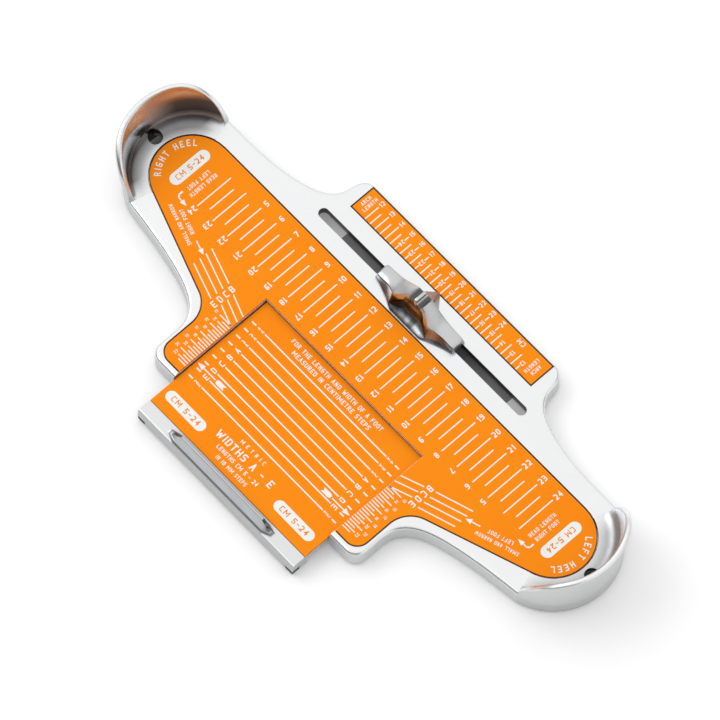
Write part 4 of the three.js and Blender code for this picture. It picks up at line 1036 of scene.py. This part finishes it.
class FOOTMEASURE_OT_width_marks(bpy.types.Operator):
    """Print the width scale on the slide"""

    bl_idname = "footmeasure.width_marks"
    bl_label = "Width scale marks"

    rows = ("4A", "3A", "2A", "A", "B", "C", "D", "E", "2E")

    def execute(self, context):
        pale, _, orange = ink_materials()
        marks = Marks(SLIDE_TOP)
        first, pitch, reach = -29.05, 4.71, 39.6
        for i, label in enumerate(self.rows):
            y = first - pitch * i
            marks.line((-reach, y), (reach, y), 0.62)
            for side in SIDES:
                self.row_end(marks, side, y, label)
        pill_x, pill_aside, pill_y = 35.4, -0.6, -79.4
        pills = [(side * pill_x + pill_aside, pill_y) for side in SIDES]
        for side, pill in zip(SIDES, pills):
            self.pointer_arrow(marks, side)
            marks.pill(pill, 12.1, 2.8, False)
        # Each word, its middle, its height, how far it is squeezed and the gap between its letters.
        for words, x, y, height, squeeze, gap in (
            ("FOR THE LENGTH AND WIDTH OF A FOOT", 0, -21.9, 2.3, 0.95, 0.2),
            ("MEASURED IN CENTIMETRE STEPS", 0, -25.6, 2.3, 0.97, 0.2),
            ("METRIC", -1.2, -70.9, 1.9, 1.0, 0.9),
            ("WIDTHS A - E", -1.4, -75.5, 3.7, 1.05, 0.24),
            ("LENGTHS CM 5 - 24", -1.4, -80.1, 2.1, 0.9, 0.2),
            ("IN 10 MM STEPS", -1.4, -83.8, 2.0, 0.85, 0.2),
        ):
            marks.word(words, (x, y), height, 0, squeeze, gap)
        marks.done("width_scale_marks", pale, "slide")
        words = Marks(SLIDE_TOP + print_settings().ink)
        for pill in pills:
            words.word(PILL_WORDS, pill, 2.8, 0, 1.05, 0.25)
        words.done("width_pill_words", orange, "slide")
        return {"FINISHED"}

    def row_end(self, marks, side, y, label):
        """A width line's letters at one side and the short line past them."""
        turn = reading(side, True)
        marks.line((side * 45.4, y), (side * 48, y), 0.7)
        if len(label) == 1:
            marks.word(label, (side * 41.9, y), 3.0, turn, 0.95)
        else:
            marks.word(label[0], (side * 43.3, y), 1.8, turn)
            marks.word(label[1], (side * 41.2, y), 1.8, turn)

    def pointer_arrow(self, marks, side):
        """The feathered arrow that points at the comb."""
        y, feather = -59.9, side * 1.15
        marks.arrow((side * 37.5, y), (side * 49.7, y), 3.9, 2.6)
        marks.outline([
            (side * 38.2, y), (side * 36.6, y + feather), (side * 31.9, y + feather),
            (side * 33.1, y), (side * 31.9, y - feather), (side * 36.6, y - feather),
        ])


class FOOTMEASURE_OT_guides(bpy.types.Operator):
    """Finish the guide strips, the drag springs and what lies under the pointer"""

    bl_idname = "footmeasure.guides"
    bl_label = "Guides and springs"

    def execute(self, context):
        nylon = moulded_finish("natural_nylon", (0.79, 0.76, 0.66), 0.42, 0.25 * MM, 0.01 * MM)
        dress(["guide_strip_left", "guide_strip_right", "pointer_shoe"], nylon, 0.2 * MM)
        spring = steel_finish("tempered_spring", (0.36, 0.38, 0.42), 0.28, 0.15 * MM)
        dress(["drag_spring_left", "drag_spring_right", "pointer_spring"], spring, 0.05 * MM)
        return {"FINISHED"}


class FOOTMEASURE_OT_screws(bpy.types.Operator):
    """Finish the screws"""

    bl_idname = "footmeasure.screws"
    bl_label = "Screws"

    def execute(self, context):
        made = steel_finish("zinc_screw", (0.55, 0.56, 0.58), 0.32, 0.1 * MM)
        dress([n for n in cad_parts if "screw" in n], made, 0.08 * MM, 40)
        return {"FINISHED"}


class FOOTMEASURE_OT_feet(bpy.types.Operator):
    """Finish the rubber feet and the rail's glide pads"""

    bl_idname = "footmeasure.feet"
    bl_label = "Feet and pads"

    def execute(self, context):
        made = moulded_finish("black_rubber_skin", (0.022, 0.022, 0.024), 0.72, 0.2 * MM, 0.02 * MM)
        dress([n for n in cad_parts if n.startswith(("foot_", "rail_pad"))], made, 0.2 * MM)
        return {"FINISHED"}


class FOOTMEASURE_OT_stage(bpy.types.Operator):
    """Set up the floor, the light and the camera"""

    bl_idname = "footmeasure.stage"
    bl_label = "Studio"

    def execute(self, context):
        settings = context.scene.footmeasure_studio
        self.floor(settings)
        self.sky(settings)
        self.lamp(settings)
        self.camera(settings)
        context.scene.view_settings.view_transform = "Standard"
        return {"FINISHED"}

    def floor(self, settings):
        """A pale floor that stays white in the picture, with a painted shadow, dark and without glow,
        where the deck covers it.
        """
        half_size, shadow_dimming, brightness = 12, 0.45, 0.16
        finish = Finish("pale_floor", settings.floor, 0.0, 0.8)
        path = finish.node("ShaderNodeLightPath", {})
        seen = finish.either(path.outputs["Is Camera Ray"], path.outputs["Is Glossy Ray"])
        shadowed = 0.0
        for half_x, low_y, high_y in SHADOWED_FLOOR_PATCHES:
            middle, reach = (low_y + high_y) / 2, (high_y - low_y) / 2
            patch = finish.patch(half_x * MM, DRAWING_Y + middle * MM, reach * MM)
            shadowed = finish.either(shadowed, patch)
        tone = finish.mix(shadowed, settings.floor, shade(settings.floor, shadow_dimming))
        finish.links.new(tone, finish.shader.inputs["Base Color"])
        strength = finish.ramp(shadowed, 0, 1, brightness, 0)
        glow = finish.node("ShaderNodeEmission", {"Strength": strength})
        plain = finish.shader.outputs[0]
        lit = finish.node("ShaderNodeAddShader", {0: plain, 1: glow.outputs[0]})
        mixed = finish.node("ShaderNodeMixShader", {0: seen, 1: plain, 2: lit.outputs[0]})
        finish.links.new(mixed.outputs[0], finish.nodes["Material Output"].inputs["Surface"])
        made = bmesh.new()
        bmesh.ops.create_grid(made, x_segments=1, y_segments=1, size=half_size)
        floor = placed("studio_floor", mesh_of(made, "studio_floor", finish.material))

    def sky(self, settings):
        """A white sky over and behind the device and a soft window at its side, dark elsewhere."""
        world = bpy.data.worlds.new("studio_sky")
        bpy.context.scene.world = world
        made = Nodes(world)

        def glow(toward, wide, narrow, low, high):
            """Light that rises between two angles from a direction, in degrees."""
            direction = made.places["Generated"]
            facing = made.vector("DOT_PRODUCT", direction, toward.normalized(), output="Value")
            outer, inner = math.cos(math.radians(wide)), math.cos(math.radians(narrow))
            return made.ramp(facing, outer, inner, low, high, "SMOOTHSTEP")

        behind = Vector((-math.sin(settings.azimuth), math.cos(settings.azimuth), 0))
        over = behind * 0.35 + Vector((0, 0, 1))
        window = Vector((0.95, 0.25, 0.28))
        above = glow(over, 84, 46, settings.gloom * settings.sky, settings.sky)
        beside = glow(window, 42, 18, 0, 0.9 * settings.sky)
        light = made.nodes["Background"].inputs
        light["Color"].default_value = (1, 1, 1, 1)
        made.links.new(made.either(above, beside), light["Strength"])

    def lamp(self, settings):
        light = bpy.data.lights.new("soft_lamp", "AREA")
        light.shape = "RECTANGLE"
        light.size, light.size_y = 1.6, 1.1
        light.energy = settings.lamp
        lamp = placed("soft_lamp", light)
        lamp.location = (-1.15, -0.55, 1.6)
        lamp.rotation_mode = "QUATERNION"
        lamp.rotation_quaternion = lamp.location.to_track_quat("Z", "Y")

    def camera(self, settings):
        picture = bpy.data.cameras.new("camera")
        picture.sensor_width = 36
        picture.lens = picture.sensor_width * settings.distance / settings.width
        picture.clip_end = 50
        camera = placed("camera", picture)
        a, e = settings.azimuth, settings.elevation
        back = Vector((math.sin(a) * math.cos(e), -math.cos(a) * math.cos(e), math.sin(e)))
        right = Vector((math.cos(a), math.sin(a), 0))
        up = back.cross(right)
        middle = Vector((0, DRAWING_Y, DECK_TOP)) + right * settings.aside[0] + up * settings.aside[1]
        camera.location = middle + back * settings.distance
        camera.rotation_mode = "QUATERNION"
        camera.rotation_quaternion = back.to_track_quat("Z", "Y")
        bpy.context.scene.camera = camera


class FOOTMEASURE_PT_panel(bpy.types.Panel):
    """The device's pieces and settings"""

    bl_idname = "FOOTMEASURE_PT_panel"
    bl_label = "Foot measuring device"
    bl_space_type = "VIEW_3D"
    bl_region_type = "UI"
    bl_category = "Foot measure"

    def draw(self, context):
        layout = self.layout
        for made in OPERATORS:
            layout.operator(made.bl_idname)
        for group in ("footmeasure_finish", "footmeasure_print", "footmeasure_studio"):
            settings = getattr(context.scene, group)
            box = layout.box()
            for name in settings.__annotations__:
                box.prop(settings, name)


GROUPS = {
    "footmeasure_finish": FOOTMEASURE_PG_finish,
    "footmeasure_print": FOOTMEASURE_PG_print,
    "footmeasure_studio": FOOTMEASURE_PG_studio,
}
OPERATORS = (
    FOOTMEASURE_OT_stage,
    FOOTMEASURE_OT_castings,
    FOOTMEASURE_OT_cups,
    FOOTMEASURE_OT_pointer,
    FOOTMEASURE_OT_plates,
    FOOTMEASURE_OT_toe_marks,
    FOOTMEASURE_OT_arch_marks,
    FOOTMEASURE_OT_width_marks,
    FOOTMEASURE_OT_guides,
    FOOTMEASURE_OT_screws,
    FOOTMEASURE_OT_feet,
)
CLASSES = (*GROUPS.values(), *OPERATORS, FOOTMEASURE_PT_panel)


def register():
    for made in CLASSES:
        bpy.utils.register_class(made)
    for name, group in GROUPS.items():
        setattr(bpy.types.Scene, name, bpy.props.PointerProperty(type=group))


def unregister():
    for name in GROUPS:
        delattr(bpy.types.Scene, name)
    for made in reversed(CLASSES):
        bpy.utils.unregister_class(made)


def main():
    register()
    for made in OPERATORS:
        group, name = made.bl_idname.split(".")
        getattr(getattr(bpy.ops, group), name)()


if __name__ == "__main__":
    main()
